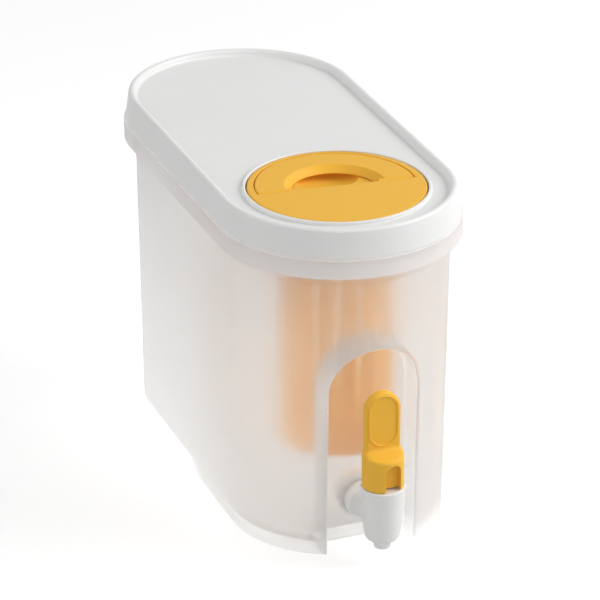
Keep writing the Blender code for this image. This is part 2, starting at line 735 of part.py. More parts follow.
def build_cap_gasket(material, frame):
    """The silicone ring round the cap's skirt."""
    inner = cap_radius - CAP_SKIRT_STEP - CAP_GASKET_GROOVE_DEPTH + SEAT_GAP
    outer = opening_radius - SEAT_GAP
    shoulder = (inner + outer) / 2
    low_z = cap_bottom_z + CAP_GASKET_GROOVE_LIFT + SEAT_GAP
    top_z = low_z + CAP_GASKET_HEIGHT
    gasket = turned("cap_gasket", [
        (inner, top_z, 0),
        (shoulder, top_z, 0),
        (outer, (low_z + top_z) / 2, 0),
        (shoulder, low_z, 0),
        (inner, low_z, 0),
    ], PARTS, parent=frame)
    gasket.data.materials.append(material)


def build_cap_handle(material, frame):
    """The fold-flat handle: half a ring with a sloped finger edge, barrel ends and trunnions.

    Its origin is on the hinge line, so it folds up about its own X axis.
    """
    shape = bmesh.new()
    half = HANDLE_THICKNESS / 2
    inner_low = handle_inner_radius - HANDLE_INNER_SLOPE
    points = rounded([
        (handle_outer_radius, -half, 0),
        (handle_outer_radius, half, HANDLE_EDGE_RADIUS),
        (handle_inner_radius, half, HANDLE_EDGE_RADIUS),
        (inner_low, -half, 0),
    ])
    verts = [shape.verts.new((across, 0, z)) for across, z in points]
    face = shape.faces.new(verts)
    bmesh.ops.spin(shape, geom=[face] + list(face.edges) + verts, cent=(0, 0, 0), axis=(0, 0, 1),
                   dvec=(0, 0, 0), angle=math.pi, steps=SMALL_STEPS, use_merge=False, use_duplicate=False)
    origin = (0, handle_axis_y, handle_axis_z)
    handle = new_object("cap_handle", mesh_from("cap_handle", shape), PARTS, origin, frame)
    barrel_length = handle_outer_radius - inner_low - 2 * HANDLE_SIDE_GAP
    barrel_middle = (handle_outer_radius + inner_low) / 2
    trunnion_length = TRUNNION_LENGTH + 2 * HANDLE_SIDE_GAP
    trunnion_middle = handle_outer_radius + TRUNNION_LENGTH - trunnion_length / 2
    for side, label in ((-1, "left"), (1, "right")):
        barrel_at = (side * barrel_middle, 0, 0)
        barrel = rod("barrel_" + label, half - BARREL_EASE, barrel_length, TOOLS, barrel_at, "X",
                     FINE_STEPS, handle)
        add_boolean(handle, "UNION", barrel)
        trunnion_at = (side * trunnion_middle, 0, 0)
        trunnion = rod("trunnion_" + label, TRUNNION_RADIUS, trunnion_length, TOOLS, trunnion_at, "X",
                       FINE_STEPS, handle)
        add_boolean(handle, "UNION", trunnion)
    handle.data.materials.append(material)
    smooth(handle)


def build_tap_body(material):
    """The tap: turned body and nozzle, with the flanged inlet barrel, hollowed by its bores."""
    tap = turned("tap_body", [
        (0, TAP_RIM_Z, 0),
        (TAP_RIM_RADIUS, TAP_RIM_Z, TAP_EDGE_RADIUS),
        (tap_waist_radius, TAP_RIM_Z - TAP_WAIST_DROP, 0),
        (tap_shoulder_radius, tap_shoulder_z, TAP_SHOULDER_FILLET),
        (NOZZLE_RADIUS, nozzle_root_z, 0),
        (NOZZLE_TIP_RADIUS, NOZZLE_TIP_Z, TAP_EDGE_RADIUS),
        (0, NOZZLE_TIP_Z, 0),
    ], PARTS, (0, tap_y, 0), SMALL_STEPS, closed=False)
    add_boolean(tap, "UNION", build_barrel())
    add_boolean(tap, "DIFFERENCE", build_chamber())
    tail_y = panel_y + WALL + BARREL_TAIL
    bore_length = tail_y + OVERRUN - tap_y
    bore_centre = (0, tap_y + bore_length / 2, inlet_z)
    bore = rod("inlet_bore", BARREL_BORE_RADIUS, bore_length, TOOLS, bore_centre, "Y", SMALL_STEPS)
    add_boolean(tap, "DIFFERENCE", bore)
    tap.data.materials.append(material)


def build_barrel():
    """The inlet barrel, turned about its own length, with the flange that presses on the washer."""
    flange_near = TAP_REACH - SEAT_GAP - WASHER_THICKNESS - SEAT_GAP
    flange_far = flange_near - TAP_FLANGE_THICKNESS
    tail = TAP_REACH + WALL + BARREL_TAIL
    barrel = turned("barrel", [
        (0, tail, 0),
        (BARREL_RADIUS, tail, TAP_EDGE_RADIUS),
        (BARREL_RADIUS, flange_near, 0),
        (TAP_FLANGE_RADIUS, flange_near, 0),
        (TAP_FLANGE_RADIUS, flange_far, TAP_EDGE_RADIUS),
        (BARREL_RADIUS, flange_far, 0),
        (BARREL_RADIUS, SEAT_GAP, 0),
        (0, SEAT_GAP, 0),
    ], TOOLS, (0, 0, 0), SMALL_STEPS, closed=False)
    barrel.location = (0, tap_y, inlet_z)
    barrel.rotation_euler.x = math.radians(-90)
    return barrel


def build_chamber():
    """The tap's inside: outlet bore, valve chamber and the bonnet's seat."""
    return turned("chamber_cutter", [
        (0, TAP_RIM_Z + OVERRUN, 0),
        (bonnet_seat_radius, TAP_RIM_Z + OVERRUN, 0),
        (bonnet_seat_radius, TAP_RIM_Z - BONNET_SEAT_DEPTH, 0),
        (chamber_radius, TAP_RIM_Z - BONNET_SEAT_DEPTH, 0),
        (chamber_radius, seat_z, 0),
        (NOZZLE_BORE_RADIUS, seat_z, 0),
        (NOZZLE_BORE_RADIUS, NOZZLE_TIP_Z - OVERRUN, 0),
        (0, NOZZLE_TIP_Z - OVERRUN, 0),
    ], TOOLS, (0, tap_y, 0), SMALL_STEPS, closed=False)


def build_washer(name, near_y, material):
    """A silicone washer on the inlet barrel."""
    washer = turned(name, [
        (BARREL_RADIUS + BARREL_CLEARANCE, WASHER_THICKNESS, 0),
        (WASHER_RADIUS, WASHER_THICKNESS, 0),
        (WASHER_RADIUS, 0, 0),
        (BARREL_RADIUS + BARREL_CLEARANCE, 0, 0),
    ], PARTS, (0, 0, 0), SMALL_STEPS)
    washer.location = (0, near_y, inlet_z)
    washer.rotation_euler.x = math.radians(-90)
    washer.data.materials.append(material)


def build_nut(material):
    """The hexagon nut that clamps the tap from inside the vessel."""
    near_y = panel_y + WALL + SEAT_GAP + WASHER_THICKNESS + SEAT_GAP
    centre = (0, near_y + NUT_THICKNESS / 2, inlet_z)
    nut = rod("tap_nut", nut_corner_radius, NUT_THICKNESS, PARTS, centre, "Y", 6)
    nut.rotation_euler.y = math.radians(30)
    hole_radius = BARREL_RADIUS + BARREL_CLEARANCE
    hole = rod("nut_hole", hole_radius, NUT_THICKNESS + OVERRUN, TOOLS, centre, "Y")
    add_boolean(nut, "DIFFERENCE", hole)
    nut.data.materials.append(material)


def build_seal(material):
    """The valve's silicone disc, with a plug that dips into the outlet."""
    plug_radius = NOZZLE_BORE_RADIUS - SEAL_PLUG_CLEARANCE
    seal = turned("valve_seal", [
        (0, seal_top_z, 0),
        (SEAL_RADIUS, seal_top_z, 0),
        (SEAL_RADIUS, seal_bottom_z, 0),
        (plug_radius, seal_bottom_z, 0),
        (plug_radius, seal_bottom_z - SEAL_PLUG_DEPTH, TAP_EDGE_RADIUS),
        (0, seal_bottom_z - SEAL_PLUG_DEPTH, 0),
    ], PARTS, (0, tap_y, 0), SMALL_STEPS, closed=False)
    seal.data.materials.append(material)


def build_stem(material):
    """The valve stem: collar for the spring, rod, and the cross head that the lever tilts on."""
    stem = turned("valve_stem", [
        (0, pin_z + STEM_HEAD_RISE, 0),
        (STEM_RADIUS, pin_z + STEM_HEAD_RISE, TAP_EDGE_RADIUS),
        (STEM_RADIUS, collar_high_z, 0),
        (stem_collar_radius, collar_high_z, 0),
        (stem_collar_radius, collar_low_z, 0),
        (0, collar_low_z, 0),
    ], PARTS, (0, tap_y, 0), SMALL_STEPS, closed=False)
    cross_length = 2 * (hood_radius - HOOD_WALL + CROSS_SOCKET_DEPTH - CROSS_CLEARANCE)
    cross = rod("cross_head", CROSS_RADIUS, cross_length, TOOLS, (0, tap_y, pin_z), "X", FINE_STEPS)
    add_boolean(stem, "UNION", cross)
    stem.data.materials.append(material)


def build_spring(material):
    """The closing spring: one wire wound between the stem's collar and the bonnet."""
    low_z = collar_high_z + SEAT_GAP + SPRING_WIRE_RADIUS
    high_z = bonnet_bottom_z - SEAT_GAP - SPRING_WIRE_RADIUS
    curve = bpy.data.curves.new("return_spring", "CURVE")
    curve.dimensions = "3D"
    curve.bevel_depth = SPRING_WIRE_RADIUS
    curve.bevel_resolution = 1
    curve.use_fill_caps = True
    spline = curve.splines.new("POLY")
    count = SPRING_TURNS * SPRING_POINTS_PER_TURN
    spline.points.add(count)
    for index in range(count + 1):
        angle = math.tau * index / SPRING_POINTS_PER_TURN
        z = low_z + (high_z - low_z) * index / count
        place = (spring_radius * math.cos(angle), spring_radius * math.sin(angle), z, 1)
        spline.points[index].co = place
    spring = bpy.data.objects.new("return_spring", curve)
    spring.location = (0, tap_y, 0)
    PARTS.objects.link(spring)
    curve.materials.append(material)


def build_bonnet(material):
    """The disc that closes the chamber, guides the stem and holds the spring down."""
    bonnet = turned("tap_bonnet", [
        (STEM_RADIUS + BONNET_GUIDE_CLEARANCE, bonnet_top_z, 0),
        (bonnet_seat_radius - SEAT_GAP, bonnet_top_z, TAP_EDGE_RADIUS),
        (bonnet_seat_radius - SEAT_GAP, bonnet_bottom_z, 0),
        (STEM_RADIUS + BONNET_GUIDE_CLEARANCE, bonnet_bottom_z, 0),
    ], PARTS, (0, tap_y, 0), SMALL_STEPS)
    bonnet.data.materials.append(material)


def section_ring(shape, half_x, half_y, power, centre_y, z):
    """One ring of a loft: a circle at power 2, squarer at higher powers."""
    ring = []
    for step in range(LARGE_STEPS):
        angle = math.tau * step / LARGE_STEPS
        cosine = math.cos(angle)
        sine = math.sin(angle)
        x = half_x * math.copysign(abs(cosine) ** (2 / power), cosine)
        y = half_y * math.copysign(abs(sine) ** (2 / power), sine)
        ring.append(shape.verts.new((x, centre_y + y, z)))
    return ring


def build_hood(origin):
    """The lever's hood, lofted from its round skirt up to the paddle's root, behind the middle."""
    shape = bmesh.new()
    mid_z = hood_top_z + HOOD_SHOULDER_HEIGHT * SHOULDER_MID_SHARE
    half_paddle = PADDLE_WIDTH / 2
    half_root = PADDLE_THICKNESS / 2
    rings = [
        section_ring(shape, hood_radius, hood_radius, ROUND_POWER, 0, hood_bottom_z - origin[2]),
        section_ring(shape, hood_radius, hood_radius, ROUND_POWER, 0, hood_top_z - origin[2]),
        section_ring(shape, hood_radius * SHOULDER_WIDTH_SHARE, hood_radius * SHOULDER_DEPTH_SHARE,
                     MID_POWER, PADDLE_SETBACK * SHOULDER_MID_SHARE, mid_z - origin[2]),
        section_ring(shape, half_paddle - PADDLE_EDGE_RADIUS, half_root - PADDLE_EDGE_RADIUS / 2,
                     SQUARE_POWER, PADDLE_SETBACK, shoulder_top_z - origin[2]),
    ]
    for low, high in zip(rings, rings[1:]):
        for index in range(LARGE_STEPS):
            after = (index + 1) % LARGE_STEPS
            shape.faces.new((low[index], low[after], high[after], high[index]))
    shape.faces.new(list(reversed(rings[0])))
    shape.faces.new(rings[-1])
    return new_object("tap_lever", mesh_from("tap_lever", shape), PARTS, origin)


def build_paddle(lever):
    """The thumb paddle: a round-topped plate with eased edges, set back from the hood's middle."""
    half = PADDLE_WIDTH / 2
    low_z = hood_top_z - pin_z + HOOD_SHOULDER_HEIGHT - PADDLE_ROOT_DEPTH
    arc_z = paddle_top_z - pin_z - half
    outline = [(-half, low_z)] + [(half, low_z)] + arc(0, arc_z, half, 0, 180, SMALL_STEPS // 2)
    front_y = PADDLE_SETBACK - PADDLE_THICKNESS / 2
    paddle = prism("paddle", outline, "Y", front_y, front_y + PADDLE_THICKNESS, parent=lever)
    bevel = paddle.modifiers.new("eased_edges", "BEVEL")
    bevel.width = PADDLE_EDGE_RADIUS
    bevel.segments = 2
    bevel.limit_method = "ANGLE"
    bevel.angle_limit = math.radians(SHARP_ANGLE_DEG)
    return paddle


def oval_outline(inset):
    """The upright oval on the paddle, seen from the front."""
    end_radius = PADDLE_WIDTH / 2 - OVAL_SIDE_MARGIN
    half = end_radius - inset
    top_z = paddle_top_z - pin_z - OVAL_TOP_MARGIN - end_radius
    low_z = shoulder_top_z - pin_z + OVAL_LOW_MARGIN + end_radius
    return arc(0, top_z, half, 0, 180, FINE_STEPS) + arc(0, low_z, half, 180, 360, FINE_STEPS)


def build_tap_lever(material):
    """The lever in one moulding: hood, window, web, paddle and the oval rim on its face.

    Its origin is on the stem's cross head, which it tilts about.
    """
    origin = (0, tap_y, pin_z)
    lever = build_hood(origin)
    add_boolean(lever, "UNION", build_paddle(lever))
    face_y = PADDLE_SETBACK - PADDLE_THICKNESS / 2
    plate = prism("oval_plate", oval_outline(0), "Y", face_y - OVAL_RIM_HEIGHT, PADDLE_SETBACK, parent=lever)
    add_boolean(lever, "UNION", plate)
    sunk = prism("oval_cutter", oval_outline(OVAL_RIM_WIDTH), "Y", face_y - OVERRUN, face_y + OVAL_SINK,
                 parent=lever)
    add_boolean(lever, "DIFFERENCE", sunk)
    inner = hood_radius - HOOD_WALL
    hollow_height = HOOD_HEIGHT - HOOD_ROOF_DROP
    hollow_middle = hood_bottom_z - pin_z + (hollow_height - OVERRUN) / 2
    hollow = rod("hood_cutter", inner, hollow_height + OVERRUN, TOOLS, (0, 0, hollow_middle), "Z",
                 LARGE_STEPS, lever)
    add_boolean(lever, "DIFFERENCE", hollow)
    add_boolean(lever, "DIFFERENCE", build_window(lever))
    add_boolean(lever, "UNION", build_web(lever))
    socket_length = 2 * (inner + CROSS_SOCKET_DEPTH)
    sockets = rod("socket_cutter", CROSS_RADIUS + CROSS_CLEARANCE, socket_length, TOOLS, (0, 0, 0), "X",
                  FINE_STEPS, lever)
    add_boolean(lever, "DIFFERENCE", sockets)
    lever.data.materials.append(material)
    smooth(lever)


def build_web(lever):
    """The flat wall across the hood in front of the stem, which hangs from the roof behind the window."""
    half = math.sqrt((hood_radius - HOOD_WALL / 2) ** 2 - WEB_SETBACK ** 2)
    low_z = hood_bottom_z - pin_z + WEB_LIFT
    high_z = hood_top_z - pin_z - HOOD_ROOF_DROP / 2
    outline = [(-half, low_z), (half, low_z), (half, high_z), (-half, high_z)]
    return prism("web", outline, "Y", -WEB_SETBACK, WEB_THICKNESS - WEB_SETBACK, parent=lever)


def build_window(lever):
    """The arch-topped window in the front of the hood, open at the bottom."""
    half = WINDOW_WIDTH / 2
    low_z = hood_bottom_z - pin_z - OVERRUN
    arc_z = hood_bottom_z - pin_z + WINDOW_HEIGHT - half
    outline = [(-half, low_z)] + [(half, low_z)] + arc(0, arc_z, half, 0, 180, FINE_STEPS)
    inner_y = -hood_radius + 2 * HOOD_WALL
    window = prism("window_cutter", outline, "Y", -hood_radius - OVERRUN, inner_y, parent=lever)
    window.rotation_euler.z = math.radians(WINDOW_TURN_DEG)
    return window


def build():
    """Makes every piece."""
    frosted = plastic("frosted_polypropylene", (0.80, 0.80, 0.81), 0.42, 0.5)
    white = plastic("white_polypropylene", (0.86, 0.86, 0.85), 0.38)
    golden = plastic("golden_yellow_plastic", (0.82, 0.45, 0.06), 0.40)
    amber = plastic("amber_plastic", (0.80, 0.36, 0.10), 0.35, 0.8)
    silicone = plastic("clear_silicone", (0.75, 0.75, 0.74), 0.55)
    steel = metal("stainless_steel", (0.58, 0.57, 0.55), 0.25)
    cap_frame = new_object("cap_frame", None, PARTS, (0, opening_y, 0))
    cap_frame.rotation_euler.z = math.radians(CAP_TURN_DEG)
    build_container(frosted)
    build_lid(white)
    build_lid_gasket(silicone)
    build_infuser(amber)
    build_cap(golden, cap_frame)
    build_cap_gasket(silicone, cap_frame)
    build_cap_handle(golden, cap_frame)
    build_tap_body(white)
    build_bonnet(white)
    build_washer("tap_outer_washer", panel_y - SEAT_GAP - WASHER_THICKNESS, silicone)
    build_washer("tap_inner_washer", panel_y + WALL + SEAT_GAP, silicone)
    build_nut(white)
    build_stem(white)
    build_seal(silicone)
    build_spring(steel)
    build_tap_lever(golden)
    bpy.context.view_layer.update()


build()
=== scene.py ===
# %% [markdown]
# Drink dispenser in a plain studio
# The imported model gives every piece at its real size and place. This lesson dresses it: each piece that
# shows is modelled again with rounder curves and eased edges, every surface gets its plastic, rubber or
# steel, and a soft studio lights it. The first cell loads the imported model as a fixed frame.

# %% Load the frame
import json
import math

import bmesh
import bpy
from mathutils import Matrix, Vector


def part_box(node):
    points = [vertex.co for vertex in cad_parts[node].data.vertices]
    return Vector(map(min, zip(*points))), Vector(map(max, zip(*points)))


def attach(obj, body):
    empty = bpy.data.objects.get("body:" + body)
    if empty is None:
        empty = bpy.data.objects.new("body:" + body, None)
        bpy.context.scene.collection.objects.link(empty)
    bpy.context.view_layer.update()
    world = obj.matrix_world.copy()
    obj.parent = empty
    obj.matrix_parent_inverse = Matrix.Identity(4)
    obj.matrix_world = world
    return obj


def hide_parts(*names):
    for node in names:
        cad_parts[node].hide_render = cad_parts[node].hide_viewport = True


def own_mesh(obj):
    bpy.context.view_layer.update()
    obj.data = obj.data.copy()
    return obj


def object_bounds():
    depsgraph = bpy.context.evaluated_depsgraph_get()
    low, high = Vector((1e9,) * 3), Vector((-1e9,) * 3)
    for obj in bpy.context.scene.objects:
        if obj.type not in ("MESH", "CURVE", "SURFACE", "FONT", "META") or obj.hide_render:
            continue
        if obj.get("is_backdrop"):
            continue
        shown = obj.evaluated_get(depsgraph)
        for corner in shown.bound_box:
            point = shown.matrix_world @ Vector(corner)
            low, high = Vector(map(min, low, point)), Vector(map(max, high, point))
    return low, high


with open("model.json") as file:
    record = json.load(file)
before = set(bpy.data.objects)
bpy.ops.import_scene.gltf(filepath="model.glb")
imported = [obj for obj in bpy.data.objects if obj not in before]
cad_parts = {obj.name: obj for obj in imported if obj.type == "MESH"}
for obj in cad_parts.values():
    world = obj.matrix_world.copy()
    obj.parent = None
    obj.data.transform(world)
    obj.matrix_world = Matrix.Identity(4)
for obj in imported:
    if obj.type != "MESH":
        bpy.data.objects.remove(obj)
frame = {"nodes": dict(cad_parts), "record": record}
cad_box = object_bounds()
print("nodes:", ", ".join(sorted(frame["nodes"])))

# %% [markdown]
# Places and sizes come from the frame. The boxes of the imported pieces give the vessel's middle, the
# centre of its round ends, the axis of the filling opening and the axis of the tap. Smaller sizes, such
# as walls and fillets, are named once, in millimetres, in the cell that first needs them.

# %% Sizes from the frame
MM = 0.001

vessel_low, vessel_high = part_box("container")
infuser_low, infuser_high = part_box("infuser_basket")
cap_low, cap_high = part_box("cap")
tap_low, tap_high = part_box("tap_body")
lever_low, lever_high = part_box("tap_lever")

total_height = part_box("lid")[1].z
flange_half = vessel_high.x
vessel_y = (vessel_low.y + vessel_high.y) / 2
end_offset = (vessel_high.y - vessel_low.y) / 2 - flange_half
opening_y = vessel_y - end_offset
tap_y = tap_low.y + tap_high.x
print(f"vessel centre y {vessel_y / MM:.1f} mm, round ends {end_offset / MM:.1f} mm from it")
print(f"opening y {opening_y / MM:.1f} mm, tap y {tap_y / MM:.1f} mm, height {total_height / MM:.1f} mm")

# %% [markdown]
# The photograph looks down on the front left corner from about two metres with a long lens, so the
# vertical edges stay nearly parallel. The camera is placed by its azimuth and elevation about a target
# near the middle of the object.

# %% Camera
VIEW_AZIMUTH = math.radians(20.95)
VIEW_ELEVATION = math.radians(24.77)
VIEW_DISTANCE = 2.054
VIEW_TARGET = Vector((-0.0061, -0.0281, 0.1146))
LENS_MM = 213.3
SENSOR_MM = 36.0

scene = bpy.context.scene
scene.view_settings.view_transform = "Standard"
look = Vector((
    math.sin(VIEW_AZIMUTH) * math.cos(VIEW_ELEVATION),
    math.cos(VIEW_AZIMUTH) * math.cos(VIEW_ELEVATION),
    -math.sin(VIEW_ELEVATION),
))
camera_data = bpy.data.cameras.new("camera")
camera_data.lens = LENS_MM
camera_data.sensor_width = SENSOR_MM
camera = bpy.data.objects.new("camera", camera_data)
camera.location = VIEW_TARGET - look * VIEW_DISTANCE
camera.rotation_euler = look.to_track_quat("-Z", "Y").to_euler()
scene.collection.objects.link(camera)
scene.camera = camera
print("camera at", tuple(round(value, 3) for value in camera.location))

# %% [markdown]
# Materials are node trees, and three small helpers keep them readable: one turns an sRGB hex colour to
# linear light, one turns a real size to a pattern scale, and one adds a node with its settings and links.

# %% Material helpers


def linear(hex_colour):
    """The linear colour of an sRGB hex string, by the curve of the sRGB standard."""
    channels = [int(hex_colour[start:start + 2], 16) / 255 for start in (1, 3, 5)]
    curve = [c / 12.92 if c <= 0.04045 else ((c + 0.055) / 1.055) ** 2.4 for c in channels]
    return (*curve, 1.0)


def scale_for(millimetres):
    """The texture scale at which one feature of a pattern is this large."""
    return 1 / (millimetres * MM)


def add_node(tree, kind, settings=None, values=None, links=None):
    """Adds one node with its settings, its socket values and its incoming links."""
    node = tree.nodes.new(kind)
    for name, value in (settings or {}).items():
        setattr(node, name, value)
    for socket, value in (values or {}).items():
        node.inputs[socket].default_value = value
    for socket, (source, output) in (links or {}).items():
        tree.links.new(source.outputs[output], node.inputs[socket])
    return node


def new_material(name):
    """A material with its Principled shader, as (material, node tree, shader)."""
    material = bpy.data.materials.new(name)
    material.use_nodes = True
    return material, material.node_tree, material.node_tree.nodes["Principled BSDF"]


print("a pattern of one millimetre has scale", scale_for(1))

# %% [markdown]
# The studio is a pale floor under an even white sky, with one large soft lamp high on the right, a fill on
# the left and two weak lamps in front. The floor and the sky show as white to the camera, and also in
# glossy and see-through surfaces, but they light the object at a plain level.

# %% Floor and sky
FLOOR_HALF = 4.0
FLOOR_DROP = 0.2 * MM
SKY_LIGHT = 0.36
FLOOR_TONE = "#CBCBCB"
FLOOR_LIFT = 0.58
WHITE_LIGHT = linear("#FFFFFF")


def new_object(name, shape):
    """Makes a finished shape an object in the scene and frees the shape."""
    mesh = bpy.data.meshes.new(name)
    shape.to_mesh(mesh)
    shape.free()
    made = bpy.data.objects.new(name, mesh)
    scene.collection.objects.link(made)
    return made


def seen_directly(tree):
    """1 where a camera, glossy or see-through ray looks at the surface, else 0."""
    path = add_node(tree, "ShaderNodeLightPath")
    total = add_node(tree, "ShaderNodeMath", {"operation": "ADD"}, {}, {
        0: (path, "Is Camera Ray"), 1: (path, "Is Glossy Ray")})
    return add_node(tree, "ShaderNodeMath", {"operation": "ADD", "use_clamp": True}, {}, {
        0: (total, "Value"), 1: (path, "Is Transmission Ray")})


def build_sky():
    """A white sky that is brighter to look at than it is as a lamp."""
    world = bpy.data.worlds.new("sky")
    world.use_nodes = True
    tree = world.node_tree
    background = tree.nodes["Background"]
    background.inputs["Color"].default_value = WHITE_LIGHT
    seen = seen_directly(tree)
    strength = add_node(tree, "ShaderNodeMapRange", {}, {"To Min": SKY_LIGHT, "To Max": 1.0}, {
        "Value": (seen, "Value")})
    tree.links.new(strength.outputs["Result"], background.inputs["Strength"])
    scene.world = world


def build_floor():
    """A matte floor that reads as white and still takes the object's shadow."""
    shape = bmesh.new()
    bmesh.ops.create_grid(shape, x_segments=2, y_segments=2, size=FLOOR_HALF)
    bmesh.ops.translate(shape, verts=shape.verts, vec=(0, 0, -FLOOR_DROP))
    floor = new_object("floor", shape)
    material, tree, shader = new_material("matte white paper")
    tree.nodes.remove(shader)
    diffuse = add_node(tree, "ShaderNodeBsdfDiffuse", {}, {"Color": linear(FLOOR_TONE)})
    lift = add_node(tree, "ShaderNodeEmission", {}, {"Color": WHITE_LIGHT})
    seen = seen_directly(tree)
    strength = add_node(tree, "ShaderNodeMath", {"operation": "MULTIPLY"}, {1: FLOOR_LIFT}, {
        0: (seen, "Value")})
    tree.links.new(strength.outputs["Value"], lift.inputs["Strength"])
    both = add_node(tree, "ShaderNodeAddShader", {}, {}, {0: (diffuse, "BSDF"), 1: (lift, "Emission")})
    tree.links.new(both.outputs["Shader"], tree.nodes["Material Output"].inputs["Surface"])
    floor.data.materials.append(material)
    floor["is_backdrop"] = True


build_sky()
build_floor()
print("sky strength as a lamp:", SKY_LIGHT)

# %% [markdown]
# The key lamp is large, so shadows stay soft; it stands high on the right, as the bright right side of the
# tap and of the lid's skirt shows. The fill stands on the left, and two weak lamps light the front from
# both sides.

# %% Lamps
LAMP_TARGET = Vector((0, 0, 0.10))
LAMPS = [  # name, place in metres, width in metres, power in watts
    ("key", Vector((1.20, -0.48, 1.08)), 1.0, 17.2),
    ("fill", Vector((-1.25, 0.05, 0.90)), 1.2, 4.6),
    ("front left", Vector((-0.75, -1.70, 0.70)), 0.7, 4.0),
    ("front right", Vector((1.30, -1.37, 0.60)), 0.7, 2.9),
]


def build_lamp(name, place, size, watts):
    """A square soft lamp that faces the object."""
    data = bpy.data.lights.new(name, "AREA")
    data.shape = "SQUARE"
    data.size = size
    data.energy = watts
    lamp = bpy.data.objects.new(name, data)
    lamp.location = place
    lamp.rotation_euler = (LAMP_TARGET - place).to_track_quat("-Z", "Y").to_euler()
    scene.collection.objects.link(lamp)


for lamp_name, lamp_place, lamp_size, lamp_watts in LAMPS:
    build_lamp(lamp_name, lamp_place, lamp_size, lamp_watts)
print("lamps:", len(LAMPS))

# %% [markdown]
# Moulded plastic is never quite even: the melt leaves slow cloudy changes of tone, the mould's spark
# erosion leaves a fine grain, and handling polishes some places more than others. One function lays
# these three over any plastic of this object, at scales taken from real sizes.

# %% Moulded plastic
CLOUD = (38.0, 3.0)  # millimetres across one patch, and the noise's detail
POLISH = (9.0, 2.0)
GRAIN = (0.45, 1.0)  # real grain is nearer 0.05 mm, drawn coarser so that it shows at all
POLISH_SPREAD = 0.05
GRAIN_STRENGTH = 0.25
LIGHT_TONE, DEEP_TONE, MIXED_TONE = 6, 7, 2  # the Mix node's two colour inputs and its colour output


def moulded(name, light_hex, deep_hex, roughness, grain_depth, settings):
    """A Principled plastic with cloudy tone, uneven polish and mould grain."""
    material, tree, shader = new_material(name)
    place = add_node(tree, "ShaderNodeTexCoord")
    cloud, polish, grain = (
        add_node(tree, "ShaderNodeTexNoise", {}, {"Scale": scale_for(size), "Detail": detail}, {
            "Vector": (place, "Object")})
        for size, detail in (CLOUD, POLISH, GRAIN))
    tone = add_node(tree, "ShaderNodeMix", {"data_type": "RGBA"}, {
        LIGHT_TONE: linear(light_hex), DEEP_TONE: linear(deep_hex)}, {0: (cloud, "Fac")})
    rough = add_node(tree, "ShaderNodeMapRange", {}, {
        "To Min": roughness - POLISH_SPREAD, "To Max": roughness + POLISH_SPREAD}, {
        "Value": (polish, "Fac")})
    bump = add_node(tree, "ShaderNodeBump", {}, {"Strength": GRAIN_STRENGTH, "Distance": grain_depth}, {
        "Height": (grain, "Fac")})
    tree.links.new(tone.outputs[MIXED_TONE], shader.inputs["Base Color"])
    tree.links.new(rough.outputs["Result"], shader.inputs["Roughness"])
    tree.links.new(bump.outputs["Normal"], shader.inputs["Normal"])
    for socket, value in settings.items():
        shader.inputs[socket].default_value = value
    return material


print("cloud, polish and grain in millimetres:", CLOUD[0], POLISH[0], GRAIN[0])

# %% [markdown]
# Two plastics let light through. Frosted polypropylene is clear with a scattering skin, so what stands
# close behind it still shows and what stands further back blurs. Its rim is a doubled wall, which scatters
# twice and looks milkier. The infuser is tinted all through, so it gets much more body than clearness.
# Real scattering inside the wall would render slowly and with noise. So a rough clear surface is mixed with
# a diffuse and a translucent body, and a share of the lamps' light passes straight, because a clear wall
# would otherwise leave what stands behind it in a shadow that is too dark.

# %% Light through plastic
RIM_MILK_LOW_Z = 174.5 * MM
RIM_MILK_HIGH_Z = 176.5 * MM
THROUGH_SHARE = 0.7
PLASTIC_IOR = 1.49
FINE_GRAIN = 0.004 * MM


def let_light_through(tree, surface, share):
    """Lets a share of the lamps' light pass straight, so that what stands behind a clear wall is lit."""
    path = add_node(tree, "ShaderNodeLightPath")
    factor = add_node(tree, "ShaderNodeMath", {"operation": "MULTIPLY"}, {1: share}, {
        0: (path, "Is Shadow Ray")})
    clear = add_node(tree, "ShaderNodeBsdfTransparent")
    mixed = add_node(tree, "ShaderNodeMixShader", {}, {}, {
        0: (factor, "Value"), 1: surface, 2: (clear, "BSDF")})
    tree.links.new(mixed.outputs["Shader"], tree.nodes["Material Output"].inputs["Surface"])


def translucent_plastic(name, light_hex, deep_hex, clear_hex, roughness, milk, rim_milk, light_pass):
    """A translucent plastic: a rough clear surface over a milky body that passes light both ways."""
    material = moulded(name, light_hex, deep_hex, roughness, FINE_GRAIN, {
        "IOR": PLASTIC_IOR,
        "Transmission Weight": 1.0,
    })
    tree = material.node_tree
    shader = tree.nodes["Principled BSDF"]
    tone_link = shader.inputs["Base Color"].links[0]
    tone = tone_link.from_node
    tree.links.remove(tone_link)
    shader.inputs["Base Color"].default_value = linear(clear_hex)
    front = add_node(tree, "ShaderNodeBsdfDiffuse", {}, {}, {"Color": (tone, MIXED_TONE)})
    through = add_node(tree, "ShaderNodeBsdfTranslucent", {}, {}, {"Color": (tone, MIXED_TONE)})
    body = add_node(tree, "ShaderNodeMixShader", {}, {0: THROUGH_SHARE}, {
        1: (front, "BSDF"), 2: (through, "BSDF")})
    place = add_node(tree, "ShaderNodeTexCoord")
    axes = add_node(tree, "ShaderNodeSeparateXYZ", {}, {}, {0: (place, "Object")})
    amount = add_node(tree, "ShaderNodeMapRange", {}, {
        "From Min": RIM_MILK_LOW_Z, "From Max": RIM_MILK_HIGH_Z, "To Min": milk, "To Max": rim_milk}, {
        "Value": (axes, "Z")})
    both = add_node(tree, "ShaderNodeMixShader", {}, {}, {
        0: (amount, "Result"), 1: (shader, "BSDF"), 2: (body, "Shader")})
    let_light_through(tree, (both, "Shader"), light_pass)
    return material


print(f"the rim turns milky from {RIM_MILK_LOW_Z / MM:.1f} to {RIM_MILK_HIGH_Z / MM:.1f} mm up")

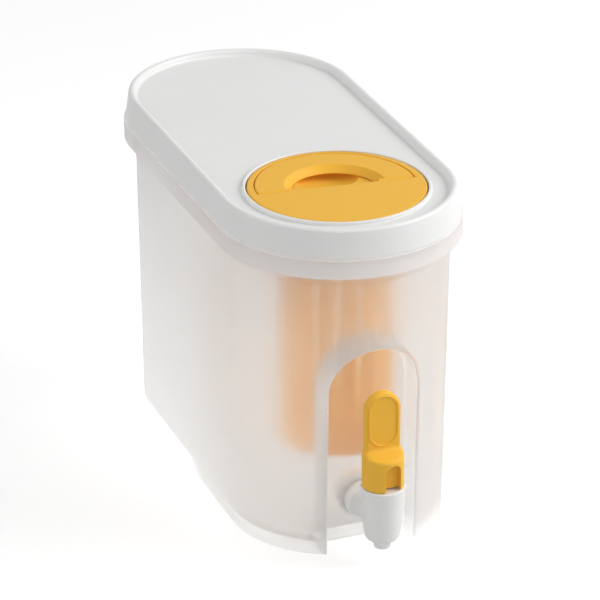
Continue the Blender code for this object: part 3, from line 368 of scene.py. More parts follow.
# %% [markdown]
# Each finish starts from the real material. The white and the golden pieces are the same kind of plastic
# as the vessel, but coloured solid; the rings and washers are silicone, and the spring is steel. Every
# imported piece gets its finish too, because those without a finer piece are rendered as they are.

# %% Finishes of the pieces
FINISHES = {
    # a soft pale veil: near things show through it, far ones blur, and lamps leave no sharp highlight
    "frosted_polypropylene": translucent_plastic(
        "frosted polypropylene, spark-eroded mould", "#FBFAFA", "#F6F5F5", clear_hex="#F3F3F2",
        roughness=0.32, milk=0.22, rim_milk=0.72, light_pass=0.8),
    # an even white with a faint glow in thin edges and broad, soft highlights
    "white_polypropylene": moulded(
        "white polypropylene, satin mould", "#EFEFEE", "#EBEBEA", roughness=0.38, grain_depth=0.006 * MM,
        settings={
            "IOR": PLASTIC_IOR,
            "Subsurface Weight": 0.15,
            "Subsurface Radius": (2.5 * MM, 2.3 * MM, 2.0 * MM),
            "Subsurface Scale": 1.0,
        }),
    # a full, flat yellow whose highlights are so wide that they only lighten it
    "golden_plastic": moulded(
        "golden yellow polypropylene, satin mould", "#F8C046", "#F4BB40", roughness=0.50,
        grain_depth=0.008 * MM, settings={"IOR": PLASTIC_IOR, "Specular IOR Level": 0.2}),
    # a glowing honey tone, smoother than the frosted wall in front of it
    "amber_plastic": translucent_plastic(
        "amber polypropylene, polished mould", "#FFDA66", "#FCD25A", clear_hex="#FFE07C",
        roughness=0.20, milk=0.70, rim_milk=0.70, light_pass=0.85),
    # a dull greyish white, as thick rubber looks
    "silicone": moulded(
        "clear silicone, compression moulded", "#E9E9E6", "#E2E2DF", roughness=0.45,
        grain_depth=FINE_GRAIN, settings={"IOR": 1.41}),
    # a bright grey that mirrors its surroundings as thin lines along the wire
    "spring_steel": moulded(
        "stainless spring wire, drawn", "#C9C7C3", "#BDBBB7", roughness=0.22,
        grain_depth=0.002 * MM, settings={"Metallic": 1.0}),
}
for subpart in frame["record"]["subparts"]:
    node_mesh = frame["nodes"][subpart["node"]].data
    node_mesh.materials.clear()
    node_mesh.materials.append(FINISHES[subpart["material_slot"]])
print("finishes:", len(FINISHES))

# %% [markdown]
# Nearly every piece here is a profile that is swept or turned, then cut. On the real parts these are the
# core and the cavity of an injection mould, and the fillets come from the mould maker's ball cutters. So
# the helpers follow that order. The first one draws a profile as a wire. Its fillets could be worked out
# point by point, but a bevel of the corner points rounds them to true arcs.

# %% Profiles with fillets
MERGE = 0.01 * MM
FILLET_STEPS = 6
FILLET_LIMIT_SHARE = 0.48
ARC_PROFILE = 0.5


def wire(corners, place, closed=False):
    """A wire through (distance, height, fillet radius) corners, each placed by place(distance, height)."""
    shape = bmesh.new()
    verts = [shape.verts.new(place(across, height)) for across, height, radius in corners]
    for pair in zip(verts, verts[1:]):
        shape.edges.new(pair)
    if closed:
        shape.edges.new((verts[-1], verts[0]))
    for index, (across, height, radius) in enumerate(corners):
        if radius == 0:
            continue
        here = Vector((across, height))
        back = Vector(corners[index - 1][:2]) - here
        ahead = Vector(corners[(index + 1) % len(corners)][:2]) - here
        limit = FILLET_LIMIT_SHARE * min(back.length, ahead.length)
        reach = min(radius / math.tan(back.angle(ahead) / 2), limit)
        bmesh.ops.bevel(shape, geom=[verts[index]], offset=reach, segments=FILLET_STEPS,
                        profile=ARC_PROFILE, affect="VERTICES", material=-1)
    return shape


def tidied(shape):
    """Merges doubled points and turns the faces outwards."""
    bmesh.ops.remove_doubles(shape, verts=shape.verts, dist=MERGE)
    bmesh.ops.recalc_face_normals(shape, faces=shape.faces)
    return shape


print(f"a fillet has {FILLET_STEPS} steps, and points closer than {MERGE / MM:.2f} mm are merged")

# %% [markdown]
# A profile becomes a solid in one of two ways. The container and the lid follow a stadium plan: two half
# circles and two straight sides, each a spin or an extrusion of the same wire. The round pieces are such a
# wire turned all the way about an axis.

# %% Sweeps and turns
END_STEPS = 64
TURN_STEPS = 128


def verts_in(geometry):
    """The points among the items that a bmesh operator returns."""
    return [item for item in geometry if isinstance(item, bmesh.types.BMVert)]


def edges_in(geometry):
    """The edges among those items."""
    return [item for item in geometry if isinstance(item, bmesh.types.BMEdge)]


def end_draft(z):
    """How far the round ends have drawn in at a height."""
    return END_DRAFT * max(0.0, 1.0 - z / flange_z)


def stadium(corners):
    """Sweeps a profile round the stadium plan; below the flange the ends draw in towards the base."""
    shape = wire(corners, lambda across, z: (across, vessel_y - end_offset, z))
    section = shape.edges[:]
    for side in (-1, 1):
        centre = (0, vessel_y + side * end_offset, 0)
        geometry = section + list(dict.fromkeys(vert for edge in section for vert in edge.verts))
        spun = bmesh.ops.spin(shape, geom=geometry, cent=centre, axis=(0, 0, -1), dvec=(0, 0, 0),
                              angle=math.pi, steps=END_STEPS, use_merge=False, use_duplicate=False)
        straight = bmesh.ops.extrude_edge_only(shape, edges=edges_in(spun["geom_last"]))
        moved = verts_in(straight["geom"])
        bmesh.ops.translate(shape, verts=moved, vec=(0, -side * 2 * end_offset, 0))
        section = [edge for edge in edges_in(straight["geom"]) if all(vert in moved for vert in edge.verts)]
    bmesh.ops.remove_doubles(shape, verts=shape.verts, dist=MERGE)
    for vert in shape.verts:
        from_centre = vert.co.y - vessel_y
        if abs(from_centre) > MERGE:
            vert.co.y -= math.copysign(end_draft(vert.co.z), from_centre)
    return tidied(shape)


def turned(corners, centre=(0, 0), closed=False, steps=TURN_STEPS):
    """Turns a (radius, height, fillet) profile about a vertical axis."""
    x, y = centre
    shape = wire(corners, lambda radius, z: (x + radius, y, z), closed)
    bmesh.ops.spin(shape, geom=shape.verts[:] + shape.edges[:], cent=(x, y, 0), axis=(0, 0, 1),
                   dvec=(0, 0, 0), angle=math.tau, steps=steps, use_merge=True, use_duplicate=False)
    return tidied(shape)


print(f"a round end has {END_STEPS} steps and a turned piece {TURN_STEPS}")

# %% [markdown]
# The niche, the handle's pocket and the lever have no axis to turn about. Their outlines are arches, ovals
# and arcs, drawn as rings of points. A rounded edge is a few such rings, one behind the other, whose insets
# and depths follow an arc.

# %% Outlines and rounded edges
ARCH_STEPS = 40
EASE_START = math.radians(20)


def even_steps(start, end, steps):
    """Evenly spaced values from start to end, both included."""
    return [start + (end - start) * step / steps for step in range(steps + 1)]


def rounding(start=0.0, end=math.pi / 2, steps=FILLET_STEPS):
    """The rings of a rounded edge: (1 - sine, 1 - cosine) at even angles of its arc."""
    return [(1 - math.sin(angle), 1 - math.cos(angle)) for angle in even_steps(start, end, steps)]


def mouth_reach(radius):
    """How far an eased mouth has widened once its last slope has run out past the surface."""
    return radius * (1 - math.sin(EASE_START) + 1 / math.tan(EASE_START))


def arc_points(centre_a, centre_b, radius, start, end, steps):
    """Points along an arc, in a plane's two directions."""
    return [(centre_a + radius * math.cos(angle), centre_b + radius * math.sin(angle))
            for angle in even_steps(start, end, steps)]


def upright_arch(half, low_z, spring_z):
    """The outline of an arch: a flat foot, straight sides and a round top."""
    return [(-half, low_z), (half, low_z)] + arc_points(0, spring_z, half, 0, math.pi, ARCH_STEPS)


def upright_oval(half, low_z, high_z, steps):
    """The outline of a long oval between the centres of its two round ends."""
    top = arc_points(0, high_z, half, 0, math.pi, steps)
    return top + arc_points(0, low_z, half, math.pi, math.tau, steps)


print(f"an eased mouth starts {math.degrees(EASE_START):.0f} degrees off its surface")

# %% [markdown]
# Rings become a solid as a loft: each ring is bridged to the next one, and the first and the last are
# filled. A flat outline is filled and extruded, and a cylinder is a cone whose two radii are equal.

# %% Lofts, extrusions and cylinders
ROD_STEPS = 32


def loft(rings):
    """A closed solid through rings of points, bridged ring to ring and filled at both ends."""
    shape = bmesh.new()
    loops = []
    for ring in rings:
        verts = [shape.verts.new(point) for point in ring]
        loops.append([shape.edges.new(pair) for pair in zip(verts, verts[1:] + verts[:1])])
    for near, far in zip(loops, loops[1:]):
        bmesh.ops.bridge_loops(shape, edges=near + far)
    for end in (loops[0], loops[-1]):
        bmesh.ops.contextual_create(shape, geom=end)
    return tidied(shape)


def filled(shape):
    """Fills a closed wire with one face."""
    return bmesh.ops.contextual_create(shape, geom=shape.edges[:])["faces"][0]


def extruded(shape, face, step):
    """Extrudes a face to a solid and returns the points that moved."""
    moved = verts_in(bmesh.ops.extrude_face_region(shape, geom=[face], use_keep_orig=True)["geom"])
    bmesh.ops.translate(shape, verts=moved, vec=step)
    return moved


def placed(shape, place, turn=0.0, axis="Z"):
    """Turns a shape about an axis through the origin and then moves it."""
    bmesh.ops.rotate(shape, verts=shape.verts, cent=(0, 0, 0), matrix=Matrix.Rotation(turn, 3, axis))
    bmesh.ops.translate(shape, verts=shape.verts, vec=place)
    return shape


def cylinder(radius, length, centre, axis="Z", steps=TURN_STEPS):
    """A cylinder about its centre, along X, Y or Z."""
    shape = bmesh.new()
    bmesh.ops.create_cone(shape, cap_ends=True, segments=steps, radius1=radius, radius2=radius, depth=length)
    turn, turn_axis = {"X": (math.pi / 2, "Y"), "Y": (math.pi / 2, "X"), "Z": (0.0, "Z")}[axis]
    return placed(shape, centre, turn, turn_axis)


print(f"a wide cylinder has {TURN_STEPS} sides and a thin rod {ROD_STEPS}")

# %% [markdown]
# Shapes are joined and cut with exact Booleans, in the order in which the part is built up. The finished
# shape becomes a piece: it rides a body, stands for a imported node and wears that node's finish. Weighted
# normals keep the flat faces flat up to their fillets.

# %% Booleans and pieces
OVERRUN = 2.0 * MM
SHARP_ANGLE = math.radians(32)


def combined(base, steps):
    """Joins, cuts or keeps shapes in turn with exact Booleans, and returns the outcome as one shape."""
    target = new_object("temporary", base)
    tools = []
    for operation, other in steps:
        tool = new_object("temporary", other)
        modifier = target.modifiers.new("step", "BOOLEAN")
        modifier.operation = operation
        modifier.solver = "EXACT"
        modifier.object = tool
        tools.append(tool)
    mesh = bpy.data.meshes.new_from_object(target.evaluated_get(bpy.context.evaluated_depsgraph_get()))
    outcome = bmesh.new()
    outcome.from_mesh(mesh)
    bpy.data.meshes.remove(mesh)
    for used in tools + [target]:
        bpy.data.objects.remove(used)
    return outcome


def place_piece(name, shape, body, node):
    """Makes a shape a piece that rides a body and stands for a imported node, in that node's finish."""
    piece = new_object(name, shape)
    slot = next(subpart["material_slot"] for subpart in frame["record"]["subparts"]
                if subpart["node"] == node)
    piece.data.materials.append(FINISHES[slot])
    piece.data.shade_smooth()
    piece.data.set_sharp_from_angle(angle=SHARP_ANGLE)
    normals = piece.modifiers.new("even_normals", "WEIGHTED_NORMAL")
    normals.keep_sharp = True
    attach(piece, body)
    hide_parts(node)
    print(name, "faces:", len(piece.data.polygons))


print(f"edges sharper than {math.degrees(SHARP_ANGLE):.0f} degrees stay sharp")

# %% [markdown]
# The container is one moulding. Its wall leans out by its draft, flares to a neck under the rim, and the
# rim turns down as a lip. The floor is raised on a foot skirt, which is why a second light line runs just
# above the bottom edge. The vessel could be a stack of outlines, but one profile that is swept round the
# plan keeps the wall at an even 2.2 mm and holds every fillet in one list.

# %% Container profile
WALL = 2.2 * MM
END_DRAFT = 2.65 * MM
LIP_THICKNESS = 1.8 * MM
FLANGE_THICKNESS = 2.0 * MM
FLANGE_OVERHANG = 3.9 * MM
FOOT_HEIGHT = 8.0 * MM
BODY_INSET = 3.5 * MM
NECK_INSET = 0.7 * MM
SIDE_DRAFT = 1.4 * MM
SKIRT_HEIGHT = 16.9 * MM
SEAT_GAP = 0.3 * MM
LIP_HEIGHT = 11.2 * MM
FLARE_HEIGHT = 8.0 * MM
FLARE_DROP = 9.0 * MM
FLARE_RADIUS = 9.0 * MM
FLOOR_FILLET = 5.0 * MM
FOOT_EDGE_RADIUS = 0.9 * MM
LIP_EDGE_RADIUS = 0.6 * MM

neck_half = flange_half - FLANGE_OVERHANG
lid_half = neck_half + NECK_INSET
body_half = lid_half - BODY_INSET
base_half = body_half - SIDE_DRAFT
neck_top_z = vessel_high.z
flange_z = total_height - SKIRT_HEIGHT - SEAT_GAP
lip_bottom_z = flange_z - LIP_HEIGHT
flare_high_z = flange_z - FLARE_DROP
flare_low_z = flare_high_z - FLARE_HEIGHT
floor_top_z = FOOT_HEIGHT + WALL


def wall_half_at(z):
    """Half the outside width of the plain wall at a height."""
    return base_half + SIDE_DRAFT * z / flare_low_z


def container_wall():
    """The swept wall, foot, floor and down-turned rim."""
    return stadium([
        (0, FOOT_HEIGHT, 0),
        (base_half - WALL, FOOT_HEIGHT, FOOT_EDGE_RADIUS),
        (base_half - WALL, 0, LIP_EDGE_RADIUS),
        (base_half, 0, FOOT_EDGE_RADIUS),
        (body_half, flare_low_z, FLARE_RADIUS),
        (neck_half, flare_high_z, FLARE_RADIUS),
        (neck_half, flange_z - FLANGE_THICKNESS, LIP_EDGE_RADIUS),
        (flange_half - LIP_THICKNESS, flange_z - FLANGE_THICKNESS, LIP_EDGE_RADIUS),
        (flange_half - LIP_THICKNESS, lip_bottom_z, LIP_EDGE_RADIUS),
        (flange_half, lip_bottom_z, LIP_EDGE_RADIUS),
        (flange_half, flange_z, LIP_EDGE_RADIUS),
        (neck_half, flange_z, LIP_EDGE_RADIUS),
        (neck_half, neck_top_z, LIP_EDGE_RADIUS),
        (neck_half - WALL, neck_top_z, LIP_EDGE_RADIUS),
        (neck_half - WALL, flare_high_z, FLARE_RADIUS),
        (body_half - WALL, flare_low_z, FLARE_RADIUS),
        (wall_half_at(floor_top_z) - WALL, floor_top_z, FLOOR_FILLET),
        (0, floor_top_z, 0),
    ])


print(f"wall half width {base_half / MM:.1f} mm at the foot and {body_half / MM:.1f} mm under the flare")

# %% [markdown]
# The niche is an arched tunnel that ends in a flat back wall, with the same wall thickness. Its mouth is
# rounded over: the cutter's last rings widen as they near the outer wall, and each ring follows the wall's
# curve, so the rounding stays even from the jambs to the crown. The back corner is rounded the same way.

# %% Niche
NICHE_WIDTH = 52.6 * MM
NICHE_TOP_Z = 127.7 * MM
NICHE_DEPTH = 20.8 * MM
NICHE_FOOT_LIFT = 0.5 * MM
MOUTH_RADIUS = 1.0 * MM
CORNER_RADIUS = 1.6 * MM

front_centre_y = vessel_y - end_offset
base_half_length = end_offset - END_DRAFT + base_half
panel_y = vessel_y - base_half_length + NICHE_DEPTH
niche_front_y = vessel_y - base_half_length - NICHE_DEPTH


def wall_y_at(x, z):
    """The front of the outer wall at a place across it and a height."""
    radius = wall_half_at(max(z, 0))
    return front_centre_y + end_draft(max(z, 0)) - math.sqrt(radius ** 2 - x ** 2)


def niche_ring(grow, low_z, y_at):
    """The niche's arch grown by a margin; each of its points takes its depth from y_at."""
    half = NICHE_WIDTH / 2 + grow
    return [(x, y_at(x, z), z) for x, z in upright_arch(half, low_z, NICHE_TOP_Z - NICHE_WIDTH / 2)]


def niche_back(rings, back_y, grow, radius, low_z):
    """Adds the rings that round off the back corner of the tunnel."""
    for short, inset in rounding():
        rings.append(niche_ring(grow - radius * inset, low_z, lambda x, z: back_y - radius * short))


def niche_sleeve():
    """The tunnel's solid, which starts inside the thickness of the outer wall."""
    def middle(x, z):
        return wall_y_at(x, z) + WALL / 2

    rings = [niche_ring(grow, NICHE_FOOT_LIFT, middle) for grow in (-WALL, WALL)]
    niche_back(rings, panel_y + WALL, WALL, CORNER_RADIUS + WALL, NICHE_FOOT_LIFT)
    return loft(rings)


def niche_cutter():
    """The tunnel's air, flared where it leaves the outer wall."""
    mouth = mouth_reach(MOUTH_RADIUS)
    rings = [
        niche_ring(mouth, -OVERRUN, lambda x, z: niche_front_y),
        niche_ring(mouth, -OVERRUN, lambda x, z: wall_y_at(x, z) - MOUTH_RADIUS),
    ]
    for grow, depth in rounding(EASE_START):
        rings.append(niche_ring(MOUTH_RADIUS * grow, -OVERRUN,
                                lambda x, z: wall_y_at(x, z) + MOUTH_RADIUS * depth))
    niche_back(rings, panel_y, 0, CORNER_RADIUS, -OVERRUN)
    return loft(rings)


print(f"niche {NICHE_WIDTH / MM:.1f} mm wide and {NICHE_TOP_Z / MM:.1f} mm high,",
      f"back wall at y {panel_y / MM:.1f} mm")

# %% [markdown]
# Two more cuts finish the container. The foot skirt is open on both long sides, so that fingers reach
# under the floor, and one bar across the vessel cuts both openings. A round hole through the niche's back
# wall takes the tap's barrel.

# %% Hand reliefs and the finished container
RELIEF_FRONT_SETBACK = 123.8 * MM
RELIEF_REAR_SETBACK = 28.8 * MM
RELIEF_SLANT = 12.0 * MM
RELIEF_RADIUS = 5.0 * MM
HOLE_RADIUS = 7.8 * MM

inlet_z = (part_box("tap_nut")[0].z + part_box("tap_nut")[1].z) / 2


def relief_cutter():
    """One bar across the vessel that opens the foot skirt on both long sides, with eased corners."""
    front = vessel_y - base_half_length + RELIEF_FRONT_SETBACK
    rear = vessel_y + base_half_length - RELIEF_REAR_SETBACK
    slant_below = RELIEF_SLANT * OVERRUN / FOOT_HEIGHT
    outline = wire([
        (front - slant_below, -OVERRUN, 0),
        (rear + slant_below, -OVERRUN, 0),
        (rear - RELIEF_SLANT, FOOT_HEIGHT, RELIEF_RADIUS),
        (front + RELIEF_SLANT, FOOT_HEIGHT, RELIEF_RADIUS),
    ], lambda along, z: (-flange_half, along, z), closed=True)
    extruded(outline, filled(outline), (2 * flange_half, 0, 0))
    return tidied(outline)


container_shape = combined(container_wall(), [
    ("UNION", niche_sleeve()),
    ("DIFFERENCE", niche_cutter()),
    ("DIFFERENCE", relief_cutter()),
    ("DIFFERENCE", cylinder(HOLE_RADIUS, WALL + 2 * OVERRUN, (0, panel_y + WALL / 2, inlet_z), "Y")),
])
place_piece("container_moulding", container_shape, "vessel", "container")

# %% [markdown]
# The lid is a thin white moulding: a flat panel sunk inside a raised rim, a drafted skirt outside, and
# below it a plug wall that carries the silicone gasket. The rim's outer edge is generously rounded, which
# gives the soft bright line round the top. The lid could be inset and extruded from its outline, but swept
# round the same plan as the container, its rim, skirt and plug all stay parallel to the neck.

# %% Lid profile
RIM_WIDTH = 4.0 * MM
RIM_HEIGHT = 4.0 * MM
RIM_RADIUS = 1.9 * MM
RIM_ROOT_RADIUS = 1.6 * MM
PANEL_THICKNESS = 2.2 * MM
SKIRT_FLARE = 2.2 * MM
SKIRT_THICKNESS = 2.0 * MM
SKIRT_EDGE_RADIUS = 0.5 * MM
PLUG_CLEARANCE = 1.2 * MM
PLUG_THICKNESS = 2.8 * MM
PLUG_DEPTH = 8.5 * MM
GROOVE_DEPTH = 1.1 * MM

skirt_half = lid_half + SKIRT_FLARE
skirt_bottom_z = flange_z + SEAT_GAP
panel_top_z = total_height - RIM_HEIGHT
panel_under_z = panel_top_z - PANEL_THICKNESS
plug_half = neck_half - WALL - PLUG_CLEARANCE
plug_bottom_z = panel_under_z - PLUG_DEPTH


def gasket_groove(radius, depth, gasket):
    """The corners of a groove round a wall for a packed gasket, from its low edge to its top edge."""
    low_z, top_z = (corner.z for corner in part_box(gasket))
    low_z -= SEAT_GAP
    top_z += SEAT_GAP
    return [(radius, low_z, 0), (radius - depth, low_z, 0), (radius - depth, top_z, 0), (radius, top_z, 0)]


def lid_shell():
    """The panel, rim, skirt and grooved plug wall."""
    return stadium([
        (0, panel_under_z, 0),
        (plug_half - PLUG_THICKNESS, panel_under_z, 0),
        (plug_half - PLUG_THICKNESS, plug_bottom_z, SKIRT_EDGE_RADIUS),
        (plug_half, plug_bottom_z, SKIRT_EDGE_RADIUS),
        *gasket_groove(plug_half, GROOVE_DEPTH, "lid_gasket"),
        (plug_half, panel_under_z, 0),
        (lid_half - SEAT_GAP, panel_under_z, 0),
        (skirt_half - SKIRT_THICKNESS, skirt_bottom_z, SKIRT_EDGE_RADIUS),
        (skirt_half, skirt_bottom_z, SKIRT_EDGE_RADIUS),
        (lid_half, total_height, RIM_RADIUS),
        (lid_half - RIM_WIDTH, total_height, RIM_RADIUS),
        (lid_half - RIM_WIDTH, panel_top_z, RIM_ROOT_RADIUS),
        (0, panel_top_z, 0),
    ])


print(f"lid {2 * skirt_half / MM:.1f} mm wide, its panel {RIM_HEIGHT / MM:.1f} mm under the rim")

# %% [markdown]
# A low collar stands round the filling opening, and a ledge at its foot carries the infuser. The ledge could
# be cut out of a block, but collar and ledge are one closed section, turned about the opening's axis. The
# panel is first cut open to the middle of the collar's wall, and the collar is then joined to it.

# %% Collar and the finished lid
OPENING_MARGIN = 10.4 * MM
COLLAR_WALL = 1.8 * MM
COLLAR_STEP = 2.1 * MM
COLLAR_EDGE_RADIUS = 0.7 * MM
COLLAR_ROOT = 0.8 * MM
COLLAR_SINK = 0.2 * MM
LEDGE_WIDTH = 4.8 * MM
LEDGE_THICKNESS = 2.0 * MM
WELL_DEPTH = 14.4 * MM

opening_radius = lid_half - RIM_WIDTH - OPENING_MARGIN - COLLAR_WALL
collar_top_z = panel_top_z + COLLAR_STEP
ledge_top_z = collar_top_z - WELL_DEPTH
ledge_radius = opening_radius - LEDGE_WIDTH


def collar():
    """The ring round the opening, with a small root fillet on the panel and the infuser's ledge inside."""
    outer = opening_radius + COLLAR_WALL
    return turned([
        (opening_radius, collar_top_z, COLLAR_EDGE_RADIUS),
        (outer, collar_top_z, COLLAR_EDGE_RADIUS),
        (outer, panel_top_z, COLLAR_ROOT),
        (outer + COLLAR_ROOT, panel_top_z - COLLAR_SINK, 0),
        (outer, panel_top_z - COLLAR_ROOT, 0),
        (outer, ledge_top_z - LEDGE_THICKNESS, SKIRT_EDGE_RADIUS),
        (ledge_radius, ledge_top_z - LEDGE_THICKNESS, SKIRT_EDGE_RADIUS),
        (ledge_radius, ledge_top_z, SKIRT_EDGE_RADIUS),
        (opening_radius, ledge_top_z, 0),
    ], (0, opening_y), closed=True)


opening_cutter = cylinder(opening_radius + COLLAR_WALL / 2, 2 * WELL_DEPTH, (0, opening_y, panel_under_z))
lid_shape = combined(lid_shell(), [("DIFFERENCE", opening_cutter), ("UNION", collar())])
place_piece("lid_moulding", lid_shape, "lid", "lid")

# %% [markdown]
# The infuser is a tube with a funnel and a flange that hangs on the ledge. A cylinder could be scaled ring
# by ring, but a turned profile gives tube, funnel and flange at once. Its long slots have round ends, as a
# mould's pins leave them, and are cut by radial bars, one per slot. Seen from the photograph's side, each
# front slot has a rear one behind it, so the slots show as light stripes through the frosted wall.

# %% Infuser
BASKET_WALL = 1.8 * MM
FLANGE_UNDER = 2.0 * MM
NECK_CLEARANCE = 0.8 * MM
NECK_HEIGHT = 3.0 * MM
FUNNEL_HEIGHT = 10.0 * MM
NICHE_GAP = 4.95 * MM
BASKET_EDGE_RADIUS = 0.6 * MM
BASKET_BOTTOM_RADIUS = 2.4 * MM
SLOT_COUNT = 16
SLOT_WIDTH = 3.4 * MM
SLOT_LOW_Z = 69.0 * MM
SLOT_TOP_MARGIN = 6.0 * MM
SLOT_PHASE_SHARE = 0.067  # of the angle between two slots, so that front and rear ones line up
SLOT_END_STEPS = 10

cap_radius = cap_high.x
basket_radius = front_centre_y - panel_y - WALL - NICHE_GAP
infuser_flange_z = infuser_high.z - FLANGE_UNDER
funnel_top_z = infuser_flange_z - NECK_HEIGHT
funnel_low_z = funnel_top_z - FUNNEL_HEIGHT


def infuser_tube():
    """The flange, neck, funnel and closed tube."""
    neck = ledge_radius - NECK_CLEARANCE
    inner = basket_radius - BASKET_WALL
    return turned([
        (0, infuser_low.z + BASKET_WALL, 0),
        (inner, infuser_low.z + BASKET_WALL, BASKET_EDGE_RADIUS),
        (inner, funnel_low_z, BASKET_BOTTOM_RADIUS),
        (neck - BASKET_WALL, funnel_top_z, BASKET_BOTTOM_RADIUS),
        (neck - BASKET_WALL, infuser_high.z, BASKET_EDGE_RADIUS),
        (cap_radius, infuser_high.z, BASKET_EDGE_RADIUS),
        (cap_radius, infuser_flange_z, BASKET_EDGE_RADIUS),
        (neck, infuser_flange_z, 0),
        (neck, funnel_top_z, BASKET_BOTTOM_RADIUS),
        (basket_radius, funnel_low_z, BASKET_BOTTOM_RADIUS),
        (basket_radius, infuser_low.z, BASKET_BOTTOM_RADIUS),
        (0, infuser_low.z, 0),
    ], (0, opening_y))


def slot_bars():
    """One radial bar with round ends for each slot, all in one shape."""
    bars = bmesh.new()
    half = SLOT_WIDTH / 2
    outline = upright_oval(half, SLOT_LOW_Z + half, funnel_low_z - SLOT_TOP_MARGIN - half, SLOT_END_STEPS)
    near = basket_radius - BASKET_WALL - OVERRUN
    for index in range(SLOT_COUNT):
        face = bars.faces.new([bars.verts.new((near, across, z)) for across, z in outline])
        moved = extruded(bars, face, (BASKET_WALL + 2 * OVERRUN, 0, 0))
        turn = Matrix.Rotation(math.tau * (index + SLOT_PHASE_SHARE) / SLOT_COUNT, 3, "Z")
        bmesh.ops.rotate(bars, verts=list(face.verts) + moved, cent=(0, 0, 0), matrix=turn)
    return tidied(placed(bars, (0, opening_y, 0)))


infuser_shape = combined(infuser_tube(), [("DIFFERENCE", slot_bars())])
place_piece("infuser_moulding", infuser_shape, "infuser", "infuser_basket")

# %% [markdown]
# The cap is a shallow golden disc. Its rear half has a pocket for the handle and a finger scoop in the
# pocket's floor. The pocket's mouth is eased, so its edge catches the light as a thin line. Both are
# modelled first, as the air that is then cut out of the cap: a loft brings its own eased mouth, where a
# bevel would have to find the right edges after the cut.

# %% Pocket and finger scoop
HANDLE_MARGIN = 5.1 * MM
HANDLE_THICKNESS = 4.5 * MM
HANDLE_SIDE_GAP = 0.5 * MM
POCKET_EASE = 0.45 * MM
POCKET_CORNER = 0.6 * MM
SCOOP_SIZE = Vector((18.5, 13.5, 4.6)) * MM
SCOOP_BACK = 21.5 * MM
SCOOP_STEPS = 96

cap_top_z = cap_high.z
handle_outer = cap_radius - HANDLE_MARGIN
handle_axis_y = HANDLE_THICKNESS / 2 + HANDLE_SIDE_GAP
handle_axis_z = cap_top_z - HANDLE_THICKNESS / 2
pocket_floor_z = cap_top_z - HANDLE_THICKNESS - SEAT_GAP


def pocket_ring(grow, z):
    """The pocket's D-shaped outline, straight along the chord."""
    radius = handle_outer + HANDLE_SIDE_GAP + grow
    outline = [(-radius, -grow), (radius, -grow)]
    outline += arc_points(0, handle_axis_y, radius, 0, math.pi, TURN_STEPS)
    return [(x, y, z) for x, y in outline]


def pocket_cutter():
    """The pocket's air, eased at its mouth and rounded at its floor."""
    rings = [pocket_ring(-POCKET_CORNER * short, pocket_floor_z + POCKET_CORNER * rise)
             for short, rise in rounding()]
    rings += [pocket_ring(POCKET_EASE * grow, cap_top_z - POCKET_EASE * drop)
              for drop, grow in rounding(end=math.pi / 2 - EASE_START, steps=FILLET_STEPS - 1)]
    mouth = mouth_reach(POCKET_EASE)
    rings += [pocket_ring(mouth, cap_top_z + lift) for lift in (POCKET_EASE, 2 * OVERRUN)]
    return loft(rings)


def scoop(grow):
    """A flattened ball, for the finger scoop or the shell round it."""
    shape = bmesh.new()
    bmesh.ops.create_uvsphere(shape, u_segments=SCOOP_STEPS, v_segments=SCOOP_STEPS // 2, radius=1.0)
    bmesh.ops.scale(shape, vec=SCOOP_SIZE + Vector((grow, grow, grow)), verts=shape.verts)
    bmesh.ops.translate(shape, verts=shape.verts, vec=(0, SCOOP_BACK, pocket_floor_z))
    return shape


print(f"pocket {(cap_top_z - pocket_floor_z) / MM:.1f} mm deep, scoop {SCOOP_SIZE.z / MM:.1f} mm deeper")

# %% [markdown]
# The front half of the cap is a plain plate, and a half-round tray closes the rear half under the pocket.
# A skirt below carries the gasket in a groove. The cap sits a few degrees turned in the opening, as in the
# photograph.

# %% Cap
CAP_TURN = math.radians(-5)
CAP_EDGE_RADIUS = 0.9 * MM
CAP_PLATE = 2.2 * MM
CAP_SKIRT_STEP = 0.8 * MM
CAP_SKIRT_THICKNESS = 2.6 * MM
CAP_GROOVE_DEPTH = 1.2 * MM
CAP_BOTTOM_RADIUS = 0.5 * MM
TRAY_THICKNESS = 2.0 * MM
TRAY_INSET_SHARE = 0.75
TRUNNION_RADIUS = 1.4 * MM
TRUNNION_LENGTH = 2.2 * MM
TRUNNION_CLEARANCE = 0.15 * MM


def tray():
    """The half-round floor and walls under the pocket."""
    radius = cap_radius - CAP_SKIRT_STEP - CAP_SKIRT_THICKNESS * TRAY_INSET_SHARE
    start = math.asin(-TRAY_THICKNESS / radius)
    outline = arc_points(0, 0, radius, start, math.pi - start, TURN_STEPS)
    low_z = pocket_floor_z - TRAY_THICKNESS
    high_z = cap_top_z - CAP_PLATE / 2
    return loft([[(x, y, z) for x, y in outline] for z in (low_z, high_z)])


def cap_shell():
    """The turned plate and skirt, grooved for its gasket."""
    skirt = cap_radius - CAP_SKIRT_STEP
    under_z = cap_top_z - CAP_PLATE
    return turned([
        (0, cap_top_z, 0),
        (cap_radius, cap_top_z, CAP_EDGE_RADIUS),
        (cap_radius, under_z, CAP_BOTTOM_RADIUS),
        (skirt, under_z, 0),
        *reversed(gasket_groove(skirt, CAP_GROOVE_DEPTH, "cap_gasket")),
        (skirt, cap_low.z, CAP_BOTTOM_RADIUS),
        (skirt - CAP_SKIRT_THICKNESS, cap_low.z, CAP_BOTTOM_RADIUS),
        (skirt - CAP_SKIRT_THICKNESS, under_z, 0),
        (0, under_z, 0),
    ])


def seated_in_opening(shape):
    """Turns a shape as the cap sits and moves it to the opening's axis."""
    return placed(shape, (0, opening_y, 0), CAP_TURN)


